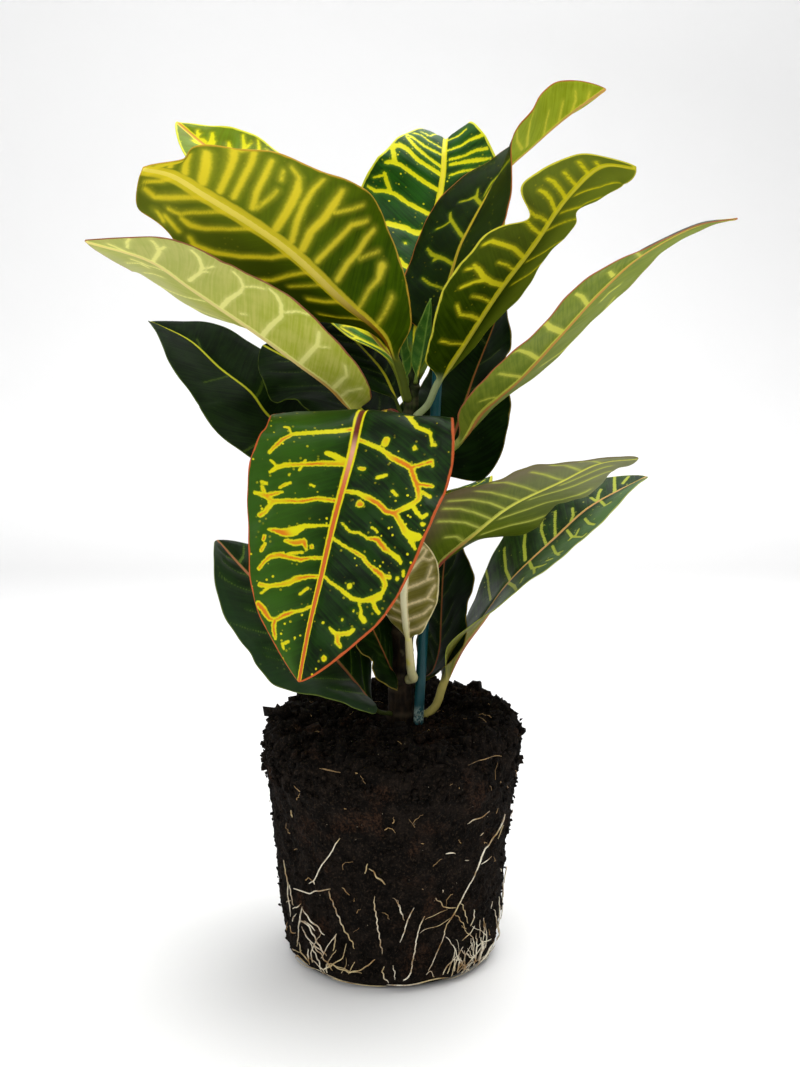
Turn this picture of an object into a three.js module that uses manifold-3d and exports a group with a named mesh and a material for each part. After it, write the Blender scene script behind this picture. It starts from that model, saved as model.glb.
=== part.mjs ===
// A croton lifted out of its nursery pot: a moulded peat root ball with its roots, one woody stem,
// a thin plant stake and some two dozen leaves. Millimetres, +Z up.
// The origin is the middle of the flat spot under the root ball, on which the plant stands.

import * as THREE from "three";
import { mergeVertices } from "three/addons/utils/BufferGeometryUtils.js";
import Module from "manifold-3d";

const wasm = await Module();
wasm.setup();

// ---- Driving dimensions -------------------------------------------------------------------------

const GAP = 0.3; // between neighbouring pieces

const BALL = {
  rim: 98, // height of the top edge where it is lowest
  crown: 6, // rise of the top from the edge to the middle
  footRadius: 41, // flat spot on the surface
  wallFoot: 48.5, // wall radius just above the rounded bottom edge
  edge: 9, // height of the rounded bottom edge
  wallTop: 55.5, // wall radius just under the collar
  collar: 84, // height at which the collar steps out
  collarRadius: 59,
  backRise: 12, // how much higher the top edge stands at its highest place
  backTurn: 75, // direction of that place, degrees
  relief: 1.3, // lumps on the wall
  crumbs: 3.6, // lumps on the top
  sides: 40,
};

const ROOTS = {
  radius: 0.9,
  ringHeight: 4.5,
  clearance: 0.9, // from the wall's mean surface to the root
  sides: 4,
  steps: 7,
  ringSteps: 44,
};

// Where each strand leaves the bottom ring (degrees) and how far it climbs and drifts (mm, degrees).
const STRANDS = [
  [214, 48, 10],
  [226, 30, -8],
  [240, 16, 6],
  [252, 22, 9],
  [268, 34, -5],
  [281, 24, 4],
  [296, 68, 14],
  [309, 33, -6],
  [326, 19, 7],
  [350, 40, -9],
  [20, 26, 12],
  [52, 45, 7],
  [78, 20, -10],
  [105, 52, 8],
  [132, 28, -6],
  [160, 38, 11],
  [188, 24, -8],
];

const STEM = {
  path: [
    [0, 2, 60],
    [4, 0, 105],
    [5, 0, 140],
    [7, 0, 200],
    [9, 0, 250],
    [11, 0, 264],
  ],
  radii: [4.5, 5.8, 5, 4.1, 2.9, 1.9], // at the points of the path
  knuckle: 0.25, // swelling at each old leaf scar
  knuckleStep: 11, // mean distance between scars
  sides: 8,
  rings: 20,
};

const STAKE = { foot: [8, -5, 24], head: [22, -1, 290], radius: 2.25, point: 6, chamfer: 0.6, sides: 12 };

const BLADE = {
  thickness: 0.85,
  ribHeight: 1.3, // how far the midrib stands out underneath, at the petiole
  across: [-1, -0.6, -0.08, 0, 0.08, 0.6, 1], // points across the blade, as parts of its half width
  tipHalfWidth: 0.9,
  shoulder: 0.1, // share of the blade over which the round petiole turns into it
  waves: 3, // along each edge
  offset: 0.43, // by which the right edge's waves run ahead of the left edge's, in waves
};

const LARGE = { stations: 15, stalk: 1.7 };
const SMALL = { stations: 10, stalk: 1.2 };
const YOUNG = { stations: 8, stalk: 0.9 };

// Each leaf: seat is its height on the stem; rib holds the points that its midrib runs through after
// that; azimuth is the way it faces in plan. roll turns the blade about its rib (right side up), left
// and right fold its halves upwards, each a list from base to tip, in degrees. lean shifts width to
// the left half. wave is the height of the edge waves, and ruffle one deeper wave on the right edge
// as [place, height, span].
const LEAVES = [
  {
    name: "leaf_01", // lowest, left, upper face to the front
    size: LARGE,
    seat: 109,
    rib: [
      [-6, -11, 116], [-12, -15, 124], [-23, -20, 136],
      [-43, -24, 157], [-60, -24, 174], [-75, -18, 189],
    ],
    azimuth: 191,
    petiole: 12,
    width: 70,
    peak: 0.5,
    round: [0.8, 0.68],
    roll: [14, 29, 38, 27],
    left: [19, -4, 15],
    right: [14, 14, 17],
    lean: 0.04,
    wave: [2.4, -0.58],
  },
  {
    name: "leaf_02", // low, right, rising away; its near half folds up at the base
    size: LARGE,
    seat: 111,
    rib: [
      [20, 2, 117], [25, 3, 124], [31, 6, 136], [42, 11, 150],
      [54, 18, 165], [77, 28, 185], [94, 34, 199], [123, 44, 213],
    ],
    azimuth: 22,
    petiole: 18,
    width: 64,
    peak: 0.46,
    round: [0.45, 0.65],
    roll: [27, 12, -6, -3],
    left: [16, 0, 15, 16],
    right: [25, 3, 10, 15],
    lean: 0.03,
    wave: [1.2, 0],
  },
  {
    name: "leaf_03", // small and pale, in front of the stem
    size: SMALL,
    seat: 117,
    rib: [[8, -12, 127], [8, -18, 142], [7, -23, 154], [6, -28, 166], [7, -35, 182], [9, -42, 195]],
    azimuth: 280,
    petiole: 12,
    width: 34,
    peak: 0.56,
    round: [0.7, 0.67],
    roll: [40, 40, 30, 30],
    left: [0, -5, 5],
    right: [13, 0, 7],
    lean: -0.08,
    wave: [1.5, -0.33],
  },
  {
    name: "leaf_04", // dark, upright, behind the stem
    size: SMALL,
    seat: 120,
    rib: [[18, 9, 124], [22, 13, 134], [23, 17, 148], [24, 23, 166], [26, 30, 184], [26, 35, 195]],
    azimuth: 56,
    petiole: 12,
    width: 42,
    peak: 0.48,
    round: [0.73, 0.7],
    roll: [34, 29, 26, 30],
    left: [1, 0, 7],
    right: [7, 2, 14],
    lean: -0.06,
    wave: [1.5, 0.57],
  },
  {
    name: "leaf_05", // small, between the stem and the hero leaf
    size: SMALL,
    seat: 124,
    rib: [[-2, -13, 136], [-7, -16, 148], [-12, -19, 160], [-18, -21, 170]],
    azimuth: 219,
    petiole: 9,
    width: 32,
    peak: 0.49,
    round: [0.68, 0.64],
    roll: [40, 40, 40, 34],
    left: [3, -8, -8],
    right: [18, 14, 12],
    lean: 0.03,
    wave: [2, -0.1],
  },
  {
    name: "leaf_06", // low at the back
    size: LARGE,
    seat: 126,
    rib: [[-10, 20, 132], [-26, 40, 140], [-42, 62, 142], [-54, 80, 136]],
    azimuth: 134,
    petiole: 14,
    width: 50,
    peak: 0.45,
    round: [0.7, 0.7],
    roll: [-5, 0, 8],
    left: [16, 14, 8],
    right: [16, 12, 8],
    lean: 0,
    wave: [2, 0.2],
  },
  {
    name: "leaf_07", // back, above the lowest one
    size: LARGE,
    seat: 146,
    rib: [[-3, 24, 154], [-14, 48, 163], [-24, 72, 165], [-32, 94, 157]],
    azimuth: 112,
    petiole: 15,
    width: 56,
    peak: 0.45,
    round: [0.7, 0.68],
    roll: [5, 2, -6],
    left: [14, 12, 6],
    right: [16, 12, 8],
    lean: 0,
    wave: [2.2, 0.6],
  },
  {
    name: "leaf_08", // right, underside to the front
    size: LARGE,
    seat: 160,
    rib: [
      [17, -9, 173], [24, -13, 182], [34, -19, 191], [50, -28, 205],
      [70, -38, 216], [85, -46, 224], [99, -52, 226],
    ],
    azimuth: 333,
    petiole: 15,
    width: 68,
    peak: 0.41,
    round: [0.7, 0.69],
    roll: [6, 17, 11, 10],
    left: [14, 0, -6],
    right: [12, 5, -4],
    lean: 0.03,
    wave: [1.8, -0.28],
  },
  {
    name: "leaf_09", // back, middle height
    size: LARGE,
    seat: 181,
    rib: [[12, 22, 193], [19, 47, 203], [27, 74, 202], [31, 98, 191]],
    azimuth: 75,
    petiole: 15,
    width: 58,
    peak: 0.42,
    round: [0.7, 0.66],
    roll: [0, 4, 8],
    left: [14, 12, 8],
    right: [14, 10, 6],
    lean: 0,
    wave: [2.4, 0.1],
  },
  {
    name: "leaf_10", // back right, steep, dark with an orange rib
    size: LARGE,
    seat: 202,
    rib: [[26, 20, 227], [35, 32, 250], [39, 37, 261], [48, 45, 283], [55, 52, 302]],
    azimuth: 46,
    petiole: 18,
    width: 59,
    peak: 0.33,
    round: [0.45, 0.7],
    roll: [-46, -5, 7, 16],
    left: [12, 12, 12],
    right: [-10, 13, 18],
    lean: 0.05,
    wave: [2.6, 0.26],
  },
  {
    name: "leaf_11", // left, dark, upper face to the front
    size: LARGE,
    seat: 207,
    rib: [
      [-28, 16, 223], [-57, 28, 242], [-66, 34, 253],
      [-82, 42, 265], [-97, 50, 278], [-118, 60, 288],
    ],
    azimuth: 156,
    petiole: 20,
    width: 65,
    peak: 0.38,
    round: [0.69, 0.64],
    roll: [25, 26, 24, 8],
    left: [2, 8, 15],
    right: [10, 6, 14],
    lean: 0.03,
    wave: [1.2, 0.29],
  },
  {
    name: "leaf_12", // right, long and narrow in view, underside to the front
    size: LARGE,
    seat: 220,
    rib: [
      [26, -14, 228], [32, -18, 235], [38, -22, 244], [54, -32, 259], [69, -42, 276],
      [83, -52, 292], [96, -62, 304], [116, -74, 314], [128, -80, 315],
    ],
    azimuth: 327,
    petiole: 24,
    width: 58,
    peak: 0.46,
    round: [0.87, 0.79],
    roll: [6, -6, -7, -9],
    left: [13, 1, -4],
    right: [13, 3, -8],
    lean: 0.07,
    wave: [1, 0.91],
  },
  {
    name: "leaf_13", // dark, behind the left leaves
    size: SMALL,
    seat: 224,
    rib: [[-6, 14, 238], [-22, 26, 252], [-38, 36, 263], [-62, 50, 276]],
    azimuth: 147,
    petiole: 16,
    width: 46,
    peak: 0.45,
    round: [0.7, 0.78],
    roll: [10, 12, 28, 31],
    left: [7, 0, 5],
    right: [8, 3, 9],
    lean: 0.08,
    wave: [2, 0],
  },
  {
    name: "leaf_14", // hero leaf: out to the front, then bent over and hanging
    size: LARGE,
    seat: 230,
    rib: [
      [2, -24, 244], [-7, -40, 246], [-11, -54, 243], [-15, -69, 226],
      [-21, -78, 203], [-26, -84, 181], [-30, -87, 164], [-34, -88, 143],
    ],
    azimuth: 243,
    petiole: 30,
    width: 75,
    peak: 0.42,
    round: [0.67, 0.74],
    roll: [-12, 14, 20, 0],
    left: [3, 8, 1],
    right: [6, 17, 12],
    lean: 0.05,
    wave: [3.2, 0.42],
  },
  {
    name: "leaf_15", // left, pale underside to the front
    size: LARGE,
    seat: 234,
    rib: [
      [-15, -17, 245], [-25, -26, 255], [-37, -35, 264], [-52, -45, 275],
      [-77, -60, 292], [-90, -70, 301], [-112, -80, 307],
    ],
    azimuth: 212,
    petiole: 25,
    width: 70,
    peak: 0.44,
    round: [0.5, 0.78],
    roll: [9, 2, -5, -9],
    left: [8, 14, 11, 1],
    right: [11, 14, 8, -1],
    lean: -0.02,
    wave: [0.8, 0.84],
  },
  {
    name: "leaf_16", // narrow, behind the left leaves
    size: SMALL,
    seat: 238,
    rib: [[3, 9, 247], [-3, 16, 261], [-12, 22, 272], [-37, 37, 296]],
    azimuth: 144,
    petiole: 14,
    width: 26,
    peak: 0.46,
    round: [0.71, 0.67],
    roll: [-9, -14, -6, -1],
    left: [4, 2, 5],
    right: [2, 2, 5],
    lean: 0.04,
    wave: [0.8, -0.25],
  },
  {
    name: "leaf_17", // back, upper
    size: LARGE,
    seat: 194,
    rib: [[7, 24, 205], [9, 50, 215], [9, 80, 215], [7, 108, 206]],
    azimuth: 90,
    petiole: 16,
    width: 60,
    peak: 0.44,
    round: [0.7, 0.66],
    roll: [4, 0, -8],
    left: [14, 14, 8],
    right: [12, 12, 10],
    lean: 0,
    wave: [2.2, 0.35],
  },
  {
    name: "leaf_18", // big, right, underside to the front, with a deep ruffle
    size: LARGE,
    seat: 242,
    rib: [
      [16, -8, 247], [20, -14, 256], [29, -24, 270], [44, -38, 293],
      [57, -48, 310], [68, -56, 326], [80, -64, 337], [92, -72, 335],
    ],
    azimuth: 320,
    petiole: 22,
    width: 68,
    peak: 0.48,
    round: [0.57, 0.65],
    roll: [-8, -6, -3, 11],
    left: [11, 12, 14, -13],
    right: [9, 10, 12, -6],
    lean: 0.1,
    wave: [1.3, -0.25],
    ruffle: [0.64, -7, 0.06],
  },
  {
    name: "leaf_19", // tallest on the left, at the back
    size: LARGE,
    seat: 248,
    rib: [
      [2, 12, 264], [-10, 22, 281], [-38, 42, 324],
      [-68, 56, 357], [-91, 66, 373], [-106, 74, 386],
    ],
    azimuth: 149,
    petiole: 18,
    width: 64,
    peak: 0.45,
    round: [0.7, 0.81],
    roll: [13, 16, 21, 28],
    left: [11, 9, 7],
    right: [13, 13, 19],
    lean: 0,
    wave: [3.4, 0.25],
  },
  {
    name: "leaf_20", // big, upper left, underside to the front
    size: LARGE,
    seat: 250,
    rib: [
      [3, -11, 265], [-3, -16, 276], [-19, -27, 289], [-44, -45, 312],
      [-69, -60, 328], [-90, -70, 334], [-97, -71, 329],
    ],
    azimuth: 212,
    petiole: 18,
    width: 78,
    peak: 0.49,
    round: [0.95, 0.75],
    roll: [-2, -28, -26, -19],
    left: [14, 30, 3, -7],
    right: [21, 19, -3, -8],
    lean: -0.02,
    wave: [1.2, 0.96],
  },
  {
    name: "leaf_21", // top, back, its tip bent over
    size: LARGE,
    seat: 253,
    rib: [
      [11, 14, 275], [15, 32, 300], [19, 53, 330], [23, 62, 347],
      [25, 67, 359], [26, 74, 372], [27, 84, 380], [27, 97, 379],
    ],
    azimuth: 77,
    petiole: 18,
    width: 76,
    peak: 0.5,
    round: [0.7, 0.85],
    roll: [-5, -6, -6, 2],
    left: [13, 15, 19, 31],
    right: [12, 12, 12, 29],
    lean: 0.05,
    wave: [2.4, 0.08],
  },
  {
    name: "leaf_22", // tallest, right, twisting over so that its underside shows at the tip
    size: LARGE,
    seat: 260,
    rib: [
      [21, 8, 281], [25, 13, 298], [31, 18, 318], [36, 21, 328], [42, 24, 339],
      [50, 27, 352], [64, 30, 365], [78, 32, 377], [98, 34, 391],
    ],
    azimuth: 19,
    petiole: 20,
    width: 66,
    peak: 0.5,
    round: [0.65, 0.8],
    roll: [-34, -22, 5, 50],
    left: [11, 2, 15, 40],
    right: [8, 13, 20, 40],
    lean: 0.0,
    wave: [1.4, 0.75],
  },
  {
    name: "young_leaf_01",
    size: YOUNG,
    seat: 257,
    rib: [[13, -10, 268], [15, -13, 280], [17, -15, 292]],
    azimuth: 305,
    petiole: 3,
    width: 9,
    peak: 0.4,
    round: [0.8, 0.95],
    roll: [0],
    left: [30, 12],
    right: [30, 12],
    lean: 0,
    wave: [0.3, 0],
  },
  {
    name: "young_leaf_02",
    size: YOUNG,
    seat: 261,
    rib: [[14.9, -2.2, 263.5], [16.2, -3, 270], [16.7, -4, 279], [16.9, -4.5, 287]],
    azimuth: 0,
    petiole: 4,
    width: 6,
    peak: 0.4,
    round: [0.8, 0.95],
    roll: [0],
    left: [30, 12],
    right: [30, 12],
    lean: 0,
    wave: [0.3, 0],
  },
  {
    name: "young_leaf_03",
    size: YOUNG,
    seat: 256,
    rib: [[6, -3, 264], [5, -4, 273], [6, -5, 282]],
    azimuth: 215,
    petiole: 3,
    width: 8,
    peak: 0.4,
    round: [0.8, 0.95],
    roll: [0],
    left: [30, 12],
    right: [30, 12],
    lean: 0,
    wave: [0.3, 0],
  },
];

// ---- Small helpers ------------------------------------------------------------------------------

const { clamp, degToRad, lerp, smoothstep } = THREE.MathUtils;
const UP = new THREE.Vector3(0, 0, 1);
const vector = ([x, y, z]) => new THREE.Vector3(x, y, z);

// A value at t (0 to 1) on a smooth line through evenly spaced values.
function along(values, t) {
  if (values.length === 1) return values[0];
  const x = clamp(t, 0, 1) * (values.length - 1);
  const i = Math.min(Math.floor(x), values.length - 2);
  return lerp(values[i], values[i + 1], smoothstep(x - i, 0, 1));
}

// Repeatable lumps between about -1 and 1, of a given size, at a point.
function lumps(point, size, seed) {
  const x = point.x / size + seed;
  const y = point.y / size - 2 * seed;
  const z = point.z / size + 3 * seed;
  const first = Math.sin(x + 1.7 * Math.sin(y + 0.6 * z)) * Math.cos(1.3 * y - 0.7 * Math.sin(z));
  const second = Math.sin(2.3 * z + 1.1 * x + seed) * Math.cos(1.9 * x - 2.1 * y);
  return 0.65 * first + 0.35 * second;
}

function geometryOf(points, triangles) {
  const geometry = new THREE.BufferGeometry();
  const flat = points.flatMap((p) => [p.x, p.y, p.z]);
  geometry.setAttribute("position", new THREE.Float32BufferAttribute(flat, 3));
  geometry.setIndex(triangles.flat());
  return geometry;
}

// The two triangles of a four-sided face whose corners run anticlockwise seen from outside.
const quad = (a, b, c, d) => [
  [a, b, c],
  [a, c, d],
];

function solidOf(geometry) {
  const bare = new THREE.BufferGeometry();
  bare.setAttribute("position", geometry.getAttribute("position"));
  bare.setIndex(geometry.getIndex());
  const merged = mergeVertices(bare, 1e-4);
  const vertProperties = new Float32Array(merged.getAttribute("position").array);
  const triVerts = new Uint32Array(merged.getIndex().array);
  return new wasm.Manifold(new wasm.Mesh({ numProp: 3, vertProperties, triVerts }));
}

function geometryFrom(solid) {
  const mesh = solid.getMesh();
  const geometry = new THREE.BufferGeometry();
  geometry.setAttribute("position", new THREE.BufferAttribute(mesh.vertProperties, 3));
  geometry.setIndex(new THREE.BufferAttribute(mesh.triVerts, 1));
  return geometry;
}

function middleOf(points) {
  const sum = points.reduce((total, p) => total.add(p), new THREE.Vector3());
  return sum.divideScalar(points.length);
}

// A closed tube through rings of points, each ring turning the same way about the path.
function tube(rings) {
  const sides = rings[0].length;
  const points = rings.flat();
  const foot = points.push(middleOf(rings[0])) - 1;
  const head = points.push(middleOf(rings.at(-1))) - 1;
  const triangles = [];
  for (let j = 0; j < sides; j++) {
    const k = (j + 1) % sides;
    for (let i = 0; i < rings.length - 1; i++) {
      const low = i * sides;
      const high = low + sides;
      triangles.push(...quad(low + j, low + k, high + k, high + j));
    }
    const last = (rings.length - 1) * sides;
    triangles.push([foot, k, j], [head, last + j, last + k]);
  }
  return geometryOf(points, triangles);
}

// A ring of points about a centre, in the plane of two unit vectors.
function ringAt(centre, side, rise, radius, sides) {
  return Array.from({ length: sides }, (_, j) => {
    const turn = (2 * Math.PI * j) / sides;
    return centre
      .clone()
      .addScaledVector(side, radius * Math.cos(turn))
      .addScaledVector(rise, radius * Math.sin(turn));
  });
}

// ---- Root ball ----------------------------------------------------------------------------------

// Wall radius at a height: rounded foot, taper, step out to the collar.
function wallRadius(z) {
  if (z < BALL.edge) {
    const rise = 1 - z / BALL.edge;
    return lerp(BALL.footRadius, BALL.wallFoot, Math.sqrt(1 - rise * rise));
  }
  const taper = (z - BALL.edge) / (BALL.collar - BALL.edge);
  const wall = lerp(BALL.wallFoot, BALL.wallTop, Math.min(taper, 1));
  return lerp(wall, BALL.collarRadius, smoothstep(z, BALL.collar - 3, BALL.collar + 3));
}

function wallPoint(z, turn, outwards) {
  const radius = wallRadius(z) + outwards;
  return new THREE.Vector3(radius * Math.cos(turn), radius * Math.sin(turn), z);
}

// How much higher than its lowest place the top edge stands in a direction.
function edgeRise(turn) {
  return (BALL.backRise / 2) * (1 + Math.cos(turn - degToRad(BALL.backTurn)));
}

// A point of the wall with its lumps, which fade out at the flat foot.
function peatWall(z, turn, outwards) {
  const plain = wallPoint(z, turn, 0);
  const relief = BALL.relief * smoothstep(z, 0, BALL.edge) * lumps(plain, 7, 1.3);
  const point = wallPoint(z, turn, relief + outwards);
  point.z += edgeRise(turn) * smoothstep(z, BALL.collar, BALL.rim);
  return point;
}

// A point of the crumbly top, share being the distance from the middle as a part of the radius.
function peatTop(share, turn, outwards) {
  const radius = share * (BALL.collarRadius - 2 + outwards);
  const point = new THREE.Vector3(radius * Math.cos(turn), radius * Math.sin(turn), BALL.rim);
  const crumbs = BALL.crumbs * lumps(point, 8, 4.1);
  point.z += BALL.crown * Math.sqrt(1 - share ** 4) + edgeRise(turn) * share ** 2 + crumbs + outwards;
  return point;
}

// The peat without its holes, grown by outwards on all sides but the foot.
function peatBody(outwards) {
  const heights = [0, 2.5, 5.5, 9, 17, 26, 36, 46, 56, 66, 76, 81, 87, 92, BALL.rim];
  const shares = [0.96, 0.84, 0.68, 0.5, 0.32, 0.15];
  const turns = Array.from({ length: BALL.sides }, (_, j) => (2 * Math.PI * j) / BALL.sides);
  const wall = heights.map((z) => turns.map((turn) => peatWall(z, turn, outwards)));
  const top = shares.map((share) => turns.map((turn) => peatTop(share, turn, outwards)));
  return tube([...wall, ...top]);
}

function hole(rings) {
  return solidOf(tube(rings));
}

function rootBall() {
  const peat = solidOf(peatBody(0));
  const holes = hole(stemRings(GAP)).add(hole(stakeRings(GAP)));
  return geometryFrom(peat.subtract(holes));
}

// ---- Roots on the outside of the ball -----------------------------------------------------------

function rootRing() {
  const rings = [];
  const reach = ROOTS.clearance + ROOTS.radius;
  for (let i = 0; i < ROOTS.ringSteps; i++) {
    const turn = (2 * Math.PI * i) / ROOTS.ringSteps;
    const z = ROOTS.ringHeight + 1.4 * Math.sin(5 * turn) + 0.8 * Math.sin(11 * turn + 1);
    const centre = peatWall(z, turn, reach);
    const side = new THREE.Vector3(Math.cos(turn), Math.sin(turn), 0);
    rings.push(ringAt(centre, UP, side, ROOTS.radius * 1.15, ROOTS.sides));
  }
  const points = rings.flat();
  const triangles = [];
  const { sides, ringSteps } = ROOTS;
  for (let i = 0; i < ringSteps; i++) {
    const next = ((i + 1) % ringSteps) * sides;
    for (let j = 0; j < sides; j++) {
      const k = (j + 1) % sides;
      triangles.push(...quad(i * sides + j, i * sides + k, next + k, next + j));
    }
  }
  return solidOf(geometryOf(points, triangles));
}

function rootStrand([degrees, climb, drift]) {
  const rings = [];
  const reach = ROOTS.clearance + ROOTS.radius;
  for (let i = 0; i <= ROOTS.steps; i++) {
    const t = i / ROOTS.steps;
    const bend = 3 * Math.sin(7 * t + degrees);
    const turn = degToRad(degrees + drift * t + bend * t);
    const radius = ROOTS.radius * (1 - 0.4 * t);
    const centre = peatWall(ROOTS.ringHeight + climb * t, turn, reach);
    const side = new THREE.Vector3(Math.cos(turn), Math.sin(turn), 0);
    const ahead = new THREE.Vector3(-Math.sin(turn), Math.cos(turn), 0);
    rings.push(ringAt(centre, ahead, side.negate(), radius, ROOTS.sides));
  }
  return solidOf(tube(rings));
}

// The ring and its strands as one body, trimmed where a lump of peat would touch it.
function surfaceRoots() {
  let roots = rootRing();
  for (const strand of STRANDS) roots = roots.add(rootStrand(strand));
  const trimmed = roots.subtract(solidOf(peatBody(GAP)));
  const bodies = trimmed.decompose().sort((a, b) => b.volume() - a.volume());
  return geometryFrom(bodies[0]);
}

// ---- Stem and stake -----------------------------------------------------------------------------

const stemCurve = new THREE.CatmullRomCurve3(STEM.path.map(vector));
const stemFoot = STEM.path[0][2];
const stemHead = STEM.path.at(-1)[2];

// The stem's centre and radius at a height: its path rises steadily, so height finds the place.
function stemAt(z) {
  let low = 0;
  let high = 1;
  for (let i = 0; i < 24; i++) {
    const middle = (low + high) / 2;
    if (stemCurve.getPoint(middle).z < z) low = middle;
    else high = middle;
  }
  const t = (low + high) / 2;
  return { centre: stemCurve.getPoint(t), radius: along(STEM.radii, t) };
}

function stemRings(outwards) {
  const rings = [];
  for (let i = 0; i <= STEM.rings; i++) {
    const z = lerp(stemFoot, stemHead, i / STEM.rings);
    const { centre, radius } = stemAt(z);
    const knuckle = STEM.knuckle * Math.max(0, Math.cos((2 * Math.PI * z) / STEM.knuckleStep));
    const side = new THREE.Vector3(1, 0, 0);
    const rise = new THREE.Vector3(0, 1, 0);
    const ring = ringAt(centre, side, rise, radius + knuckle + outwards, STEM.sides);
    rings.push(ring);
  }
  if (outwards) rings[0].forEach((p) => (p.z -= outwards));
  return rings;
}

const stemGeometry = () => tube(stemRings(0));

function stakeRings(outwards) {
  const foot = vector(STAKE.foot);
  const head = vector(STAKE.head);
  const axis = head.clone().sub(foot).normalize();
  const side = new THREE.Vector3(1, 0, 0).addScaledVector(axis, -axis.x).normalize();
  const rise = axis.clone().cross(side);
  const tip = foot.clone().addScaledVector(axis, -STAKE.point - outwards);
  const radius = STAKE.radius + outwards;
  return [
    ringAt(tip, side, rise, 0.35 * radius, STAKE.sides),
    ringAt(foot, side, rise, radius, STAKE.sides),
    ringAt(head, side, rise, radius, STAKE.sides),
  ];
}

// A round rod with a pointed foot and a slightly chamfered head.
function stakeGeometry() {
  const rings = stakeRings(0);
  const foot = vector(STAKE.foot);
  const head = vector(STAKE.head);
  const axis = head.clone().sub(foot).normalize();
  const middle = middleOf(rings[2]);
  const cap = rings[2].map((p) => p.clone().lerp(middle, 0.2).addScaledVector(axis, STAKE.chamfer));
  return tube([...rings, cap]);
}

// ---- Leaves -------------------------------------------------------------------------------------

// Half width of a blade at u (0 at the petiole, 1 at the tip), as a part of its greatest.
function outline(leaf, u) {
  const rising = u < leaf.peak;
  const short = rising ? 1 - u / leaf.peak : (u - leaf.peak) / (1 - leaf.peak);
  return rising ? (1 - short ** 2) ** leaf.round[0] : (1 - short ** 1.9) ** leaf.round[1];
}

// The curve of a leaf's midrib, from its seat on the stem to the tip.
function ribCurve(leaf) {
  const { centre, radius } = stemAt(leaf.seat);
  const next = vector(leaf.rib[0]);
  const away = next.clone().sub(centre).setZ(0).normalize();
  const seat = centre.clone().addScaledVector(away, radius + STEM.knuckle + GAP);
  return { curve: new THREE.CatmullRomCurve3([seat, ...leaf.rib.map(vector)]), away };
}

// The frame of the rib at a distance along it: place, ahead, side (right) and rise (upper face).
function ribFrame(leaf, curve, share, turn) {
  const place = curve.getPointAt(share);
  const ahead = curve.getTangentAt(share);
  const azimuth = degToRad(leaf.azimuth);
  const side = new THREE.Vector3(Math.sin(azimuth), -Math.cos(azimuth), 0);
  side.addScaledVector(ahead, -side.dot(ahead)).normalize();
  const rise = side.clone().cross(ahead);
  const rolledSide = side.clone().multiplyScalar(Math.cos(turn)).addScaledVector(rise, Math.sin(turn));
  const rolledRise = rise.multiplyScalar(Math.cos(turn)).addScaledVector(side, -Math.sin(turn));
  return { place, side: rolledSide, rise: rolledRise };
}

// Offsets of a blade point from its rib: across, and up from the flat blade.
function bladeOffset(leaf, u, v) {
  const right = v > 0;
  const spread = Math.abs(v);
  const lean = right ? 1 - leaf.lean : 1 + leaf.lean;
  const half = Math.max((leaf.width / 2) * lean * outline(leaf, u), BLADE.tipHalfWidth);
  const fold = degToRad(along(right ? leaf.right : leaf.left, u));
  const [height, phase] = leaf.wave;
  const start = right ? phase + BLADE.offset : phase;
  const fade = Math.sqrt(Math.sin(Math.PI * clamp(u, 0, 1)));
  let up = half * spread * Math.sin(fold);
  up += height * spread ** 2 * Math.sin(2 * Math.PI * (BLADE.waves * u + start)) * fade;
  if (right && leaf.ruffle) {
    const [place, depth, span] = leaf.ruffle;
    up += depth * spread ** 2 * Math.exp(-(((u - place) / span) ** 2));
  }
  return [Math.sign(v) * half * spread * Math.cos(fold), up];
}

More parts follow.
